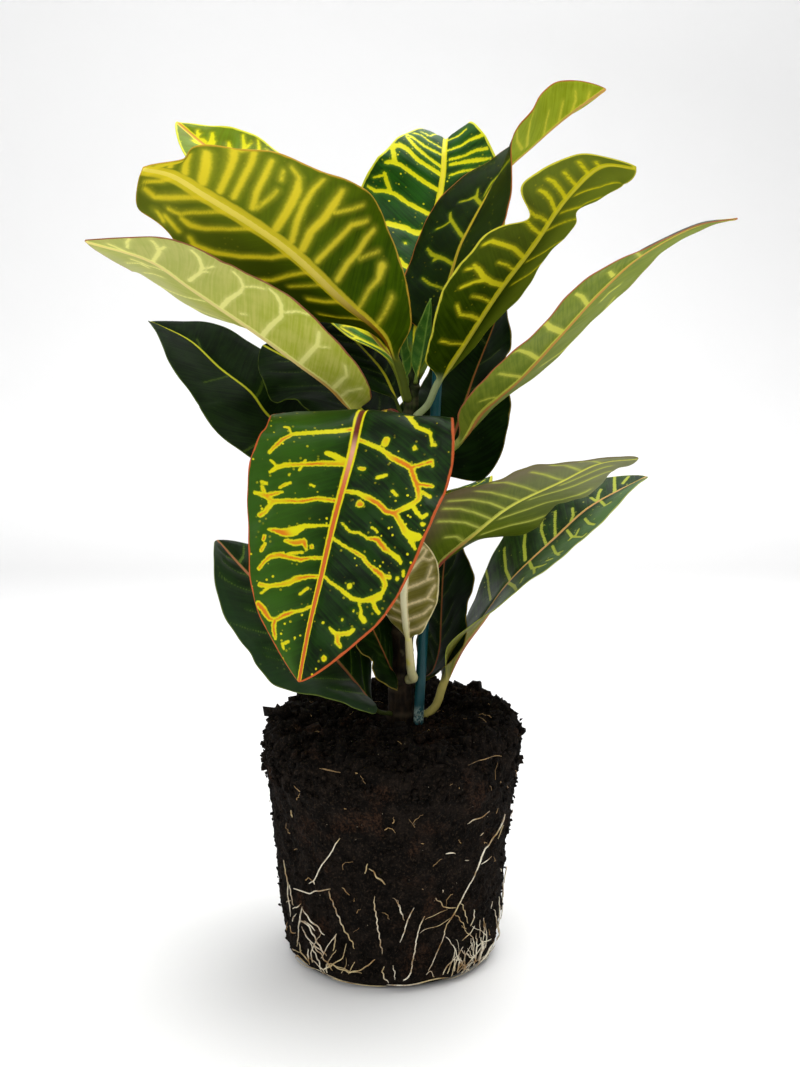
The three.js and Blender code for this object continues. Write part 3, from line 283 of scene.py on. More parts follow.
# Side veins drawn point by point, with a stroke between two veins. Each point is its place along
# the blade and across it, in hundredths, and a third number the half width in tenths of a mm.
DRAWN = dict(
    leaf_02="""
40,0,7 44,-40 49,-70 51,-80,6 / 49,-11,8 54,-41 59,-64,6 / 57,0,6 61,-34 66,-59 / 61,0,6 65,-22
69,-44 / 68,0,6 71,-9 73,-24 / 80,0,8 83,-24,6 85,-36 / 80,0,6 80,-22 / 87,0,8 90,-41,6 93,-100 /
92,-27,6 96,-78 / 32,-19,6 37,-60 41,-85 43,-100 / 39,0,7 36,51,8 32,100,6 / 49,0,7 45,45,8 46,68
47,76,6 / 45,51,6 42,78 / 57,21,6 53,65 52,84 / 53,71,6 54,80 / 49,64,6 50,75 / 65,12,6 62,54,7
62,90,6 64,91 / 62,64,6 66,49 / 62,54,6 60,56 / 71,33,6 69,66 69,85 / 81,0,6 78,55 80,61 / 40,54,6
37,69
""",
    leaf_03="""
35,0,3 35,58 34,95 / 42,0,3 43,36 46,49 / 48,0,3 50,23 51,35 / 24,0,3 25,100 27,100 / 59,0,4
65,-38 70,-64,3 75,-71 80,-80 / 70,-64,3 73,-84 / 47,0,4 53,-46 57,-71,3 64,-80 69,-91 / 57,-71,3
56,-89 / 37,0,3 42,-51 45,-75 51,-89 / 28,0,3 35,-74 41,-100 / 69,0,4 77,-25 84,-49,3 91,-81 /
84,-49,3 84,-76 87,-100 / 80,0,3 87,-36 93,-79,3
""",
    leaf_08="""
44,0,4 44,34 42,64 37,86 / 51,0,4 50,34 49,64 47,83 / 59,0,4 58,49 57,85 54,100 / 70,0,4 69,55
67,81 / 78,0,4 79,80 76,100 / 37,0,4 37,35 36,60 33,83 / 31,0,4 31,31 29,58 27,79 / 86,0,4 86,65
84,100 / 22,0,4 23,25 21,44 / 38,-14,4 48,-44 59,-76 71,-85 / 53,-15,4 64,-35 76,-54 84,-85 /
27,-21,4 36,-49 46,-98 / 67,-15,4 77,-27 88,-48
""",
    leaf_10="""
60,0,4 62,38 66,66 / 47,0,4 48,40 48,76 / 71,0,4 76,-34 80,-71 / 29,0,4 31,24 33,50
""",
    leaf_11="""
48,0,6 51,23 55,51,4 / 76,0,4 81,18 / 61,0,4 61,-39 61,-61 / 32,0,4 32,-51 31,-98
""",
    leaf_12="""
45,0,12 47,64 49,100,8 48,100,4 / 55,0,8 58,50 59,83,5 / 35,0,8 37,51 38,92,6 37,95,4 / 28,0,6
28,46 28,78,4 / 66,15,9 68,55,6 / 19,0,4 18,21 16,43 / 74,0,4 77,98 / 38,-100,4 45,-100 52,-100 /
49,-100,4 52,-98 57,-82 / 31,-54,4 36,-88 40,-100 / 56,-42,5 59,-41 62,-52,4
""",
    leaf_14="""
28,0,9 30,19 32,40,8 34,61 35,69 38,76 40,79 43,84,5 / 35,69,4 33,75 33,80 / 39,0,10 41,25 43,45,8
45,65 46,71 48,78,4 / 39,0,12 38,18 38,26,9 / 46,71,4 45,80 / 50,0,8 51,23 53,41 54,58 55,71 58,79
59,85,9 / 55,71,8 54,80 54,91,6 / 54,80,6 52,84 / 54,79,8 53,70 52,62,4 / 51,65,5 50,60 49,55,4 /
57,0,4 58,16 59,31,8 61,43,17 62,54,15 62,65,9 62,75,4 / 64,53,6 64,40,11 63,30 65,25,4 / 64,19,8
/ 64,79,7 65,80 / 66,78,6 68,83 / 66,0,6 67,19 68,31,9 68,45 68,58,10 69,71,9 71,80,7 73,86,6 /
68,54,4 67,45 66,29 / 71,0,6 72,18,8 73,31,11 75,45,10 76,59,8 77,74,7 77,85,8 / 77,71,4 79,85 /
79,0,5 81,18 82,34,6 83,46,9 84,58,8 85,69,7 85,81,8 83,88,11 82,95 / 85,70,9 87,78,8 89,83
90,86,5 / 90,50,5 91,69 92,71 / 95,100,5 / 0,0,6 18,-44,8 24,-55,9 27,-62,8 28,-70 29,-76,6 /
29,-76,4 32,-78,6 32,-82,4 / 24,-55,4 11,-69 7,-90 / 31,0,8 33,-19 34,-29 36,-40,11 37,-51 38,-60
/ 38,-60,8 37,-70,7 36,-79,8 37,-81,4 / 38,-60,11 40,-65 42,-70 44,-75,10 46,-78 / 42,-71,8 42,-79
42,-86,6 / 32,-31,15 31,-32,12 / 33,-61,8 / 40,-11,7 40,-16 / 47,0,6 47,-17,8 48,-29,11 49,-41
51,-51 51,-60 / 51,-60,10 49,-69,11 48,-74 46,-78,9 / 51,-60,11 53,-68 56,-78,13 57,-86,18
57,-92,15 / 58,-86,9 60,-94,5 / 48,-75,7 50,-82 51,-89 50,-92,6 / 50,-22,15 50,-24,11 / 53,-92,9 /
56,-9,4 58,-20 58,-31 59,-41,5 59,-51,11 61,-62 62,-71,7 63,-80,9 64,-85,6 / 60,0,5 62,-17
63,-30,6 64,-41,7 66,-52 67,-62,10 68,-71,11 70,-79,8 72,-80,6 73,-78,13 74,-72,10 75,-61,7 75,-46
74,-36 73,-24,5 72,-12 71,-5 / 74,-72,7 76,-81 77,-89,6 / 75,-56,4 77,-64 79,-71,7 80,-79,9 /
68,-76,6 68,-80 / 72,-38,10 / 68,-89,7 / 78,-57,4 / 84,-36,4 85,-51,7 85,-60 84,-72,9 83,-74,7 /
85,-55,10 87,-65 88,-78,6 / 92,-65,11 / 83,-22,4 / 42,-31,6 41,-39 / 57,0,4 57,0 / 48,30,4 48,34 /
45,-50,5 46,-56 / 56,-42,4 57,-49 / 66,-92,5 67,-94 / 44,-79,5 45,-88 / 45,49,4 42,46 / 51,85,4
51,79 / 47,58,4 / 77,25,4 75,15 / 81,-49,4
""",
    leaf_15="""
81,0,7 82,-48,6 84,-74,4 85,-86 / 82,-57,4 82,-70 / 89,-30,4 90,-69,5 90,-100,4 / 70,-15,8
71,-48,7 73,-65 76,-82,5 78,-90,4 / 72,-57,4 71,-79 / 71,-52,4 70,-59 / 57,0,9 58,-27 58,-56,7
59,-70,5 62,-84,4 65,-90 / 59,-69,4 57,-82 55,-88 / 42,0,10 44,-32,9 45,-61,7 48,-79,6 51,-89
54,-94,4 / 46,-66,5 44,-90,4 42,-98 / 51,-21,4 52,-16 / 27,0,9 30,-38 32,-65,7 36,-89,5 / 31,-64,4
30,-79 / 13,0,8 17,-49,6 18,-64,4 22,-78 / 9,0,4 12,-41 13,-82 / 86,33,4 80,29 76,6 73,0 / 76,76,4
75,53 73,39 / 70,100,4 67,86 64,60 61,14 / 60,100,4 56,85 51,69 44,62 / 94,-39,4 89,-5 85,0 /
86,66,4 83,39 79,38
""",
    leaf_18="""
41,0,10 41,25 42,45 44,64,9 45,78,5 / 41,41,6 40,55 37,73,5 / 44,76,5 43,85 / 52,0,8 54,33 54,61
54,81 52,90,5 / 27,0,6 28,25,7 28,49,5 31,64,4 / 17,0,4 17,40 18,71 / 61,0,6 62,24 64,54,5 65,83,4
/ 65,0,5 66,21 66,45 67,70,4 / 69,0,6 72,29 73,49 73,64,4 / 74,0,6 76,30 77,56 77,73,4 / 79,0,5
80,31 81,59,4 / 84,0,5 85,33 86,68,4 / 88,0,4 89,38 / 62,0,4 65,-41 68,-96 73,-100 / 69,-17,4
72,-68 78,-90 / 50,-17,4 53,-64 58,-100 / 40,-29,4 43,-75 47,-100 / 76,-15,4 82,-55 89,-85 /
34,0,4 35,24 35,44 / 47,0,4 48,23 48,40
""",
    leaf_20="""
83,-20,15 84,-55 85,-84,11 / 78,-19,11 79,-49 80,-78 81,-98 / 74,-20,10 75,-49 76,-80 77,-96 /
68,-19,10 70,-41 71,-66 72,-88,8 / 67,-21,5 66,-45 66,-55,4 / 59,-12,14 60,-35 61,-52 62,-66
64,-82,6 67,-90,4 / 53,-10,10 56,-32 58,-54 59,-74,8 59,-92,5 / 49,-11,14 51,-31 51,-51 52,-71
53,-88,6 / 50,-62,6 47,-75 45,-86,5 / 43,-12,10 43,-30 43,-48 43,-64 40,-80,7 / 34,-14,11 35,-34
35,-54 36,-69 36,-82,9 / 33,-50,4 32,-59 30,-75 / 22,0,4 24,-38,5 24,-57,8 26,-71,16 / 14,0,4
16,-40 18,-66 / 88,-24,13 89,-55 89,-82,9 / 94,-41,11 96,-100,7 / 98,0,15 97,-70 93,-85,11 /
90,0,8 93,30 97,66 / 92,0,10 96,3,11 98,24 / 79,0,8 87,35,9 92,78 96,84,8 / 72,0,6 78,26 84,56
88,70 / 63,0,7 69,25 75,48,9 79,58,12 83,60,8 / 50,0,10 53,24 60,50,11 67,69 74,80,10 77,75,8 /
42,0,8 44,28 45,51 48,65 / 36,0,4 38,24 40,43 / 28,0,8 30,23 33,40 / 18,0,4 22,46 26,59 / 88,99,8
90,100,6 / 81,81,8 86,84 88,88 / 80,-98,6 79,-100 / 67,-69,5 68,-81,4
""",
    leaf_21="""
80,0,6 82,-42 85,-85 85,-100,4 / 75,0,8 78,-29 81,-59 84,-88,6 / 72,0,11 74,-21 76,-44 79,-66
80,-84,12 / 80,-84,10 79,-98 78,-100,9 / 79,-96,11 76,-84 73,-76,13 / 66,0,11 68,-24 70,-45 72,-66
72,-79,12 / 72,-79,11 71,-85,8 / 56,0,11 57,-17 58,-36 60,-56 60,-62,10 / 60,-62,9 60,-71 59,-81
60,-92,6 / 60,-62,10 64,-72 67,-80,9 / 66,-80,5 64,-90 / 49,0,11 48,-19,14 49,-31 49,-44 49,-54,13
/ 49,-10,14 51,-2,8 / 33,-19,14 34,-29 36,-36,12 / 82,0,6 82,39 83,64 83,96,9 / 88,0,5 87,41
88,69,4 / 78,12,6 78,38 79,64 79,90 / 76,12,7 76,31 76,45,9 76,65 76,89,4 / 72,12,5 73,34 73,61
74,91,4 / 65,11,7 67,30 68,54 70,83,5 / 83,0,4 85,-38 87,-66 87,-90 / 98,0,4 88,-45 89,-76 /
43,-29,8 / 72,55,5 / 33,23,7 33,6 32,0 / 25,23,7 21,5 17,0
""",
    leaf_22="""
35,0,7 38,-22 42,-49 44,-56,5 / 41,-46,4 39,-56 38,-68 / 47,0,9 50,-26,7 49,-34 / 50,-21,7
53,-30,4 / 49,-32,4 48,-51 / 26,0,7 28,-21 29,-39,8 30,-55 32,-69,4 / 18,0,4 20,-40,5 22,-59,4 /
29,-35,7 28,-46 / 69,16,8 69,48,7 70,79,5 73,100,4 / 76,0,6 78,29,5 80,46,4 / 67,19,6 64,62
63,100,4 / 82,0,5 84,20 86,41,4 / 87,0,5 90,26 91,54,4 / 93,0,5 95,34,4 / 55,94,4 55,56 56,12 /
59,0,5 55,-7 50,-6,4 / 72,0,4 76,0 82,0 / 78,0,4 84,0 92,-66
""",
)
# Roots against the wall, in the same way: degrees round the ball, height in mm and half width.
ROOTS = """
248,68.5,4 246,66 245,63.5 242,59.5 239,56 235.5,51.5 233.5,48 232,46,5 233,45 / 229,44.5,4 232,46
/ 217,38.5,4 223,39.5 229,40 234,42.5 238,44 242,45 / 241.5,44.5,3 241,42.5,4 242,39.5 243.5,35.5
246,32 248,28.5 250.5,25 252,23 253,20,3 / 260,58.5,5 259,54.5,6 / 261,57,3 263,55,4 265,52.5,5
268,50.5,6 / 263,44.5,3 263,40.5,4 264,35 264,31,4 265,26.5 265.5,23 266.5,19.5,3 / 271,44,2
273.5,42,3 274.5,38.5 275,36 / 273,43,2 274,40,3 275,36.5 276.5,33.5,3 / 280.5,38.5,4 279,35.5
277.5,32 276.5,28.5 274.5,24,3 / 248,47,3 249,45 251.5,44,3 / 210,49.5,4 211,44 213,40 211.5,33.5
212.5,29.5 212,24.5 / 214,39.5,5 214.5,35.5,4 216,30.5,4 / 208,29.5,4 214,32.5 / 215.5,29,4 219,31
222,33 / 218,27.5,4 214,24 213,22 / 223,32,4 221,28,5 220,24.5,6 217,20.5,4 216,15.5 215.5,11.5 /
223,31.5,4 226,30 228,28,5 231,27 234,25,4 237,23 / 220,25,5 223,25.5 227,24 230,21.5 232.5,19
235,16 237.5,13.5,4 / 223,25.5,4 229,25 231.5,24 / 221,22.5,4 224,19.5 229,18.5 231,16 234,14
236,11.5 238.5,10 241,8 / 228,18,4 230.5,14 232.5,11 234,7.5 236,5.5 / 217,14,4 219,10.5 223,9
226,8 / 227,14.5,4 226.5,11,5 226,6.5 / 230.5,17.5,4 233.5,16 236,14 / 244,25,5 241,21.5,3
238.5,18.5 236.5,15 234,11.5 / 243.5,24.5,5 242.5,20.5,4 241.5,17 / 210.5,19.5,4 211.5,16.5
214.5,17.5 / 236.5,9,4 240,11 243,10.5 244.5,9 247.5,9 249.5,8,6 253,9.5,4 256.5,11 259,13
261,14.5 263,16.5 / 253,14,3 251,11 249.5,8 / 267,13,4 266,10.5 267,7.5 269,5 / 271,13.5,3 272,11
272,6.5 / 331,70.5,6 330,67.5 329,65,5 326,62 321,59.5,5 317,59 314,56.5,6 313,53.5 312,51,4
310.5,47.5 308,45 305.5,42 304,38.5,4 303,36 302,34 300,31.5 297,29.5,3 296,26.5,4 295.5,23,3
294,19.5 292,15.5 290.5,12 288.5,9 / 331.5,65.5,4 330,62 328.5,60 / 318,75,3 313,74 308,74,4
305.5,72.5,2 / 323,54,2 317.5,53,3 314,52.5 / 291,42,3 294,39 297,36,4 302,35.5,3 / 297.5,35.5,2
293,35 289,34 286,32.5 / 300,31.5,2 296,30.5 291,29 286,28 284,27 / 286,34.5,4 284,30.5 283,27
282,23.5,4 281.5,19 280.5,14.5 280,10 278.5,8,5 276,6.5 / 304,38,3 306,35 308,31 309.5,27 /
301,33.5,3 304,30.5 307,26.5 308,24.5 / 313,32,4 314,28 311,25 / 314,24,3 310,21.5 306,20 /
321,26,4 322,20.5 322.5,14.5 / 318,25.5,3 319,17.5 / 330.5,27,4 336,19.5 342,12.5 355,3.5 /
326,32.5,3 326.5,28.5 / 336,31,4 338,23.5,5 342,14.5 352.5,3.5 / 312,19,4 316,11.5 319,6 /
315.5,20,4 318.5,13.5,5 318.5,8.5 317,5 / 320,17,5 323.5,11.5,9 321.5,7.5,7 321,2.5,4 /
335.5,9.5,4 329,9,6 326,6 321.5,4.5,4 / 307,14.5,4 313,10.5,5 318,7.5 / 311.5,14.5,3 315.5,9.5
317,6 / 304,12.5,4 299.5,11 297,8.5 296,6 / 303,12,4 308,9.5 310,6 317,1.5 / 307,11,4 305.5,8.5,5
305,5.5 / 325,13.5,4 321,11 315.5,8 308,6 / 330.5,13,4 322,14.5 318,13 / 287.5,7.5,3 289.5,9 292,6
/ 294.5,62,4 296.5,62,5 299,60.5,4 / 294,45.5,4 294,44 / 305,57,3 307,56.5 / 313.5,66,4 315,66.5 /
333,44.5,4 334.5,43 / 221.5,75.5,5 222,72.5
"""
FIBRES = """
303,97.5,2 308.5,98,3 316.5,96.5 324,95,3 / 299,90,5 299,89.5 / 315,87.5,3 316,85.5,4 /
294.5,90.5,3 296,91.5 / 251,82.5,4 252,82.5 / 323,87.5,5 323,87 / 323,73,3 324,75 / 284,47,4
284.5,46.5 / 283,68,3 284,67.5 / 256,98,5 257,98 / 240,98,2 243,98,3 245,98 250,98 / 241,98,2
244,98 247,98
"""
# Start and span of the roots that run round the foot of the ball, in degrees.
RING = ((205, 40), (238, 30), (268, 34), (300, 46), (350, 50), (70, 60), (140, 50))

# ---- Small helpers ------------------------------------------------------------------------------


def smooth(x, low, high):
    """0 below low, 1 above high, and a soft step between them."""
    t = np.clip((np.asarray(x, float) - low) / (high - low), 0, 1)
    return t * t * (3 - 2 * t)


def mix(a, b, t):
    """a where t is 0, b where t is 1, and evenly in between."""
    return a + (b - a) * t


def along(values, t):
    """Values evenly spaced from 0 to 1, read at t with soft steps."""
    values = np.asarray(values, float)
    t = np.clip(np.asarray(t, float), 0, 1)
    if len(values) == 1:
        return np.full(t.shape, values[0])
    x = t * (len(values) - 1)
    i = np.clip(x.astype(int), 0, len(values) - 2)
    return mix(values[i], values[i + 1], smooth(x - i, 0, 1))


def unit(rows):
    """Each row of numbers brought to length 1."""
    return rows / np.maximum(np.linalg.norm(rows, axis=-1, keepdims=True), 1e-9)


def knots(points):
    """The pieces of a centripetal spline through the points, each as four factors of a cubic."""
    p = [np.asarray(q, float) for q in points]
    p = [2 * p[0] - p[1], *p, 2 * p[-1] - p[-2]]
    pieces = []
    for p0, p1, p2, p3 in zip(p, p[1:], p[2:], p[3:]):
        pairs = ((p0, p1), (p1, p2), (p2, p3))
        d0, d1, d2 = (max(np.sum((a - b) ** 2) ** 0.25, 1e-4) for a, b in pairs)
        m1 = ((p1 - p0) / d0 - (p2 - p0) / (d0 + d1) + (p2 - p1) / d1) * d1
        m2 = ((p2 - p1) / d1 - (p3 - p1) / (d1 + d2) + (p3 - p2) / d2) * d1
        pieces.append((p1, m1, 3 * (p2 - p1) - 2 * m1 - m2, 2 * (p1 - p2) + m1 + m2))
    return pieces


def spline(points, samples=48):
    """A dense polyline along a centripetal spline through the points."""
    t = np.linspace(0, 1, samples, endpoint=False)[:, None]
    line = [a + b * t + c * t**2 + d * t**3 for a, b, c, d in knots(points)]
    line.append(np.asarray(points[-1], float)[None, :])
    return np.concatenate(line)


def at_length(line, lengths):
    """Points and directions on a polyline at the given distances along it."""
    steps = np.linalg.norm(np.diff(line, axis=0), axis=1)
    reach = np.concatenate([[0], np.cumsum(steps)])
    slope = unit(np.gradient(line, axis=0))
    place = np.stack([np.interp(lengths, reach, line[:, k]) for k in range(3)], -1)
    ahead = unit(np.stack([np.interp(lengths, reach, slope[:, k]) for k in range(3)], -1))
    return place, ahead


def length_of(line):
    """The length of a polyline."""
    return float(np.linalg.norm(np.diff(line, axis=0), axis=1).sum())


def deselect():
    """Leaves edit mode and selects nothing."""
    if bpy.context.object and bpy.context.object.mode != "OBJECT":
        bpy.ops.object.mode_set(mode="OBJECT")
    bpy.ops.object.select_all(action="DESELECT")


def close_mesh(piece, distance=2e-6):
    """Merges the points that meet at seams and poles."""
    bpy.context.view_layer.objects.active = piece
    bpy.ops.object.mode_set(mode="EDIT")
    bpy.ops.mesh.select_all(action="SELECT")
    bpy.ops.mesh.remove_doubles(threshold=distance)
    bpy.ops.object.mode_set(mode="OBJECT")


def shaped_grid(name, rows, fields=None):
    """A grid primitive whose points are moved to rows[i, k], in mm, with named values per point.
    Its faces point the way that (k forward) x (i forward) does."""
    deselect()
    tall, wide = rows.shape[:2]
    bpy.ops.mesh.primitive_grid_add(x_subdivisions=wide - 1, y_subdivisions=tall - 1, size=1)
    piece = bpy.context.object
    piece.name = name
    piece.data.name = name
    places = (rows.reshape(-1, 3) * MM).astype(np.float32)
    piece.data.vertices.foreach_set("co", places.ravel())
    for field, values in (fields or {}).items():
        layer = piece.data.attributes.new(field, "FLOAT", "POINT")
        layer.data.foreach_set("value", values.astype(np.float32).ravel())
    while piece.data.uv_layers:
        piece.data.uv_layers.remove(piece.data.uv_layers[0])
    piece.data.update()
    close_mesh(piece)
    return piece


def mesh_piece(name, points, faces):
    """One object from lists of points, in mm, and faces."""
    mesh = bpy.data.meshes.new(name)
    mesh.from_pydata((np.concatenate(points) * MM).tolist(), [], faces)
    piece = bpy.data.objects.new(name, mesh)
    bpy.context.scene.collection.objects.link(piece)
    return piece


def tube_rows(line, radii, sides, bulge=None):
    """Closed rings along a polyline, from a point at its foot to a point at its head."""
    ahead = unit(np.gradient(line, axis=0))
    side = np.cross(ahead[0], (0.3, 0.2, 1.0))
    sides_at = np.zeros_like(line)
    for i, direction in enumerate(ahead):
        side = side - direction * np.dot(side, direction)
        side = side / np.linalg.norm(side)
        sides_at[i] = side
    rises = np.cross(ahead, sides_at)
    turn = np.linspace(0, 2 * np.pi, sides + 1)[None, :, None]
    ring = np.cos(turn) * sides_at[:, None] + np.sin(turn) * rises[:, None]
    radii = np.broadcast_to(np.asarray(radii, float), (len(line),))[:, None, None]
    if bulge is not None:
        radii = radii + bulge[:, :, None]
    rows = line[:, None] + ring * radii
    foot = np.broadcast_to(line[0], rows[0].shape)[None]
    head = np.broadcast_to(line[-1], rows[-1].shape)[None]
    return np.concatenate([foot, rows, head])


def many_tubes(name, paths, sides):
    """Thin tubes along polylines as one mesh, each closed by a point at both ends."""
    points, faces = [], []
    first = 0
    for line, radii in paths:
        rows = tube_rows(line, radii, sides)[:, :-1]
        rings = rows[1:-1]
        points.append(np.concatenate([rows[:1, 0], rings.reshape(-1, 3), rows[-1:, 0]]))
        last = first + 1 + len(rings) * sides
        for k in range(sides):
            m = (k + 1) % sides
            faces.append((first, first + 1 + m, first + 1 + k))
            for a in range(first + 1, last - sides, sides):
                faces.append((a + k, a + m, a + sides + m, a + sides + k))
            faces.append((last, last - sides + k, last - sides + m))
        first = last + 1
    return mesh_piece(name, points, faces)


def dress(piece, material, nodes):
    """Gives a finished piece its material, body and replaced nodes, and shades it smooth."""
    piece.data.materials.clear()
    piece.data.materials.append(material)
    piece.data.polygons.foreach_set("use_smooth", [True] * len(piece.data.polygons))
    piece.data.update()
    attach(piece, "root")
    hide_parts(*nodes)


# ---- Leaves -------------------------------------------------------------------------------------

UP = np.array([0.0, 0.0, 1.0])
STEM_KNOTS = knots(STEM["path"])
CROWDING = 0.94  # Points crowd towards the tip and the margins by this power.
LEAST_HALF = 0.35  # Half width that a blade keeps at its ends, in mm.
VEIN_REACH = 8.0  # Beyond this many mm the distance to a side vein no longer counts.
ROUND_TO_FLAT = (-0.02, 0.1)  # Where the round petiole turns into the blade, as a share of the blade.


def stem_at(height):
    """Centre and radius of the stem at a height."""
    low, high = 0.0, 1.0
    for _ in range(24):
        t = (low + high) / 2
        x = t * len(STEM_KNOTS)
        i = min(int(x), len(STEM_KNOTS) - 1)
        a, b, c, d = STEM_KNOTS[i]
        f = x - i
        centre = a + b * f + c * f**2 + d * f**3
        if centre[2] < height:
            low = t
        else:
            high = t
    return centre, float(along(STEM["radii"], t))


def rib_line(leaf):
    """The leaf's midrib from its seat on the stem to the tip, and the way it leaves the stem."""
    centre, radius = stem_at(leaf["seat"])
    away = np.asarray(leaf["rib"][0], float) - centre
    away[2] = 0
    away /= np.linalg.norm(away)
    seat = centre + away * (radius + STEM["knuckle"] + STEM["gap"])
    return spline([seat, *leaf["rib"]]), away


def half_width(leaf, u):
    """Half the blade's width in mm at u, 0 at the petiole and 1 at the tip."""
    peak, (base, tip) = leaf["peak"], leaf["ends"]
    bare = leaf.get("bare", 0)
    u = np.clip((u - bare) / (1 - bare), 0, 1)
    rising = np.clip(1 - u / peak, 0, 1)
    falling = np.clip((u - peak) / (1 - peak), 0, 1)
    share = np.where(u < peak, (1 - rising**2) ** base, (1 - falling**1.9) ** tip)
    return leaf["width"] / 2 * share


def rib_frames(leaf, line, lengths, turn):
    """Places on the midrib with the directions to the right and up from the upper face."""
    place, ahead = at_length(line, lengths)
    azimuth = math.radians(leaf["azimuth"])
    side = np.array([math.sin(azimuth), -math.cos(azimuth), 0.0])
    side = unit(side - ahead * (ahead @ side)[:, None])
    rise = np.cross(side, ahead)
    cos, sin = np.cos(turn)[:, None], np.sin(turn)[:, None]
    return place, side * cos + rise * sin, rise * cos - side * sin


def blade_offsets(leaf, u, v, width, relief):
    """How far each blade point lies across and up from the midrib, in mm."""
    right = v > 0
    spread = np.abs(v)
    fold = np.radians(np.where(right, along(leaf["right"], u), along(leaf["left"], u)))
    height, phase = leaf["wave"]
    start = np.where(right, phase + 0.43, phase)
    fade = np.sqrt(np.sin(np.pi * np.clip(u, 0, 1)))
    up = width * spread * np.sin(fold)
    # Three long waves along each margin, and eleven short ones that stay close to it.
    up = up + height * spread**2 * np.sin(2 * np.pi * (3 * u + start)) * fade
    up = up + 0.12 * height * spread**6 * np.sin(2 * np.pi * (11 * u + 2.3 * start)) * fade
    if "ruffle" in leaf:
        place, depth, span = leaf["ruffle"]
        up = up + right * depth * spread**2 * np.exp(-(((u - place) / span) ** 2))
    return np.sign(v) * width * spread * np.cos(fold), up + relief


def blade_faces(sheet, x, u, margin, look, stalk):
    """The upper and the lower face of a blade from its middle sheet: thin at the margin, with a groove
    along the midrib above and a keel below."""
    normal = unit(np.cross(np.gradient(sheet, axis=1), np.gradient(sheet, axis=0)))
    rib_half = mix(*look["rib_mm"], u**0.7)
    dome = np.sqrt(np.clip(1 - (x / (rib_half * 1.25)) ** 2, 0, 1))
    thin = mix(look["thickness"] * 0.55, look["thickness"], smooth(margin, 0, 1.6))
    keel = look["keel"] * dome * mix(1.35, 0.25, u) * stalk / STALKS["large"]
    groove = -0.28 * dome * smooth(u, 0.04, 0.2) * (1 - u)
    return sheet + normal * groove[..., None], sheet - normal * (thin + keel)[..., None]


def rings(centres, sides, rises, radius, count):
    """The upper and the lower half of round rings, each of count points from left to right."""
    radius = np.asarray(radius, float)[:, None, None]
    half_turn = np.pi * (1 - (np.arange(count) + 0.5) / count)[None, :, None]
    flat = sides[:, None] * np.cos(half_turn)
    tall = rises[:, None] * np.sin(half_turn)
    return centres[:, None] + radius * (flat + tall), centres[:, None] + radius * (flat - tall)


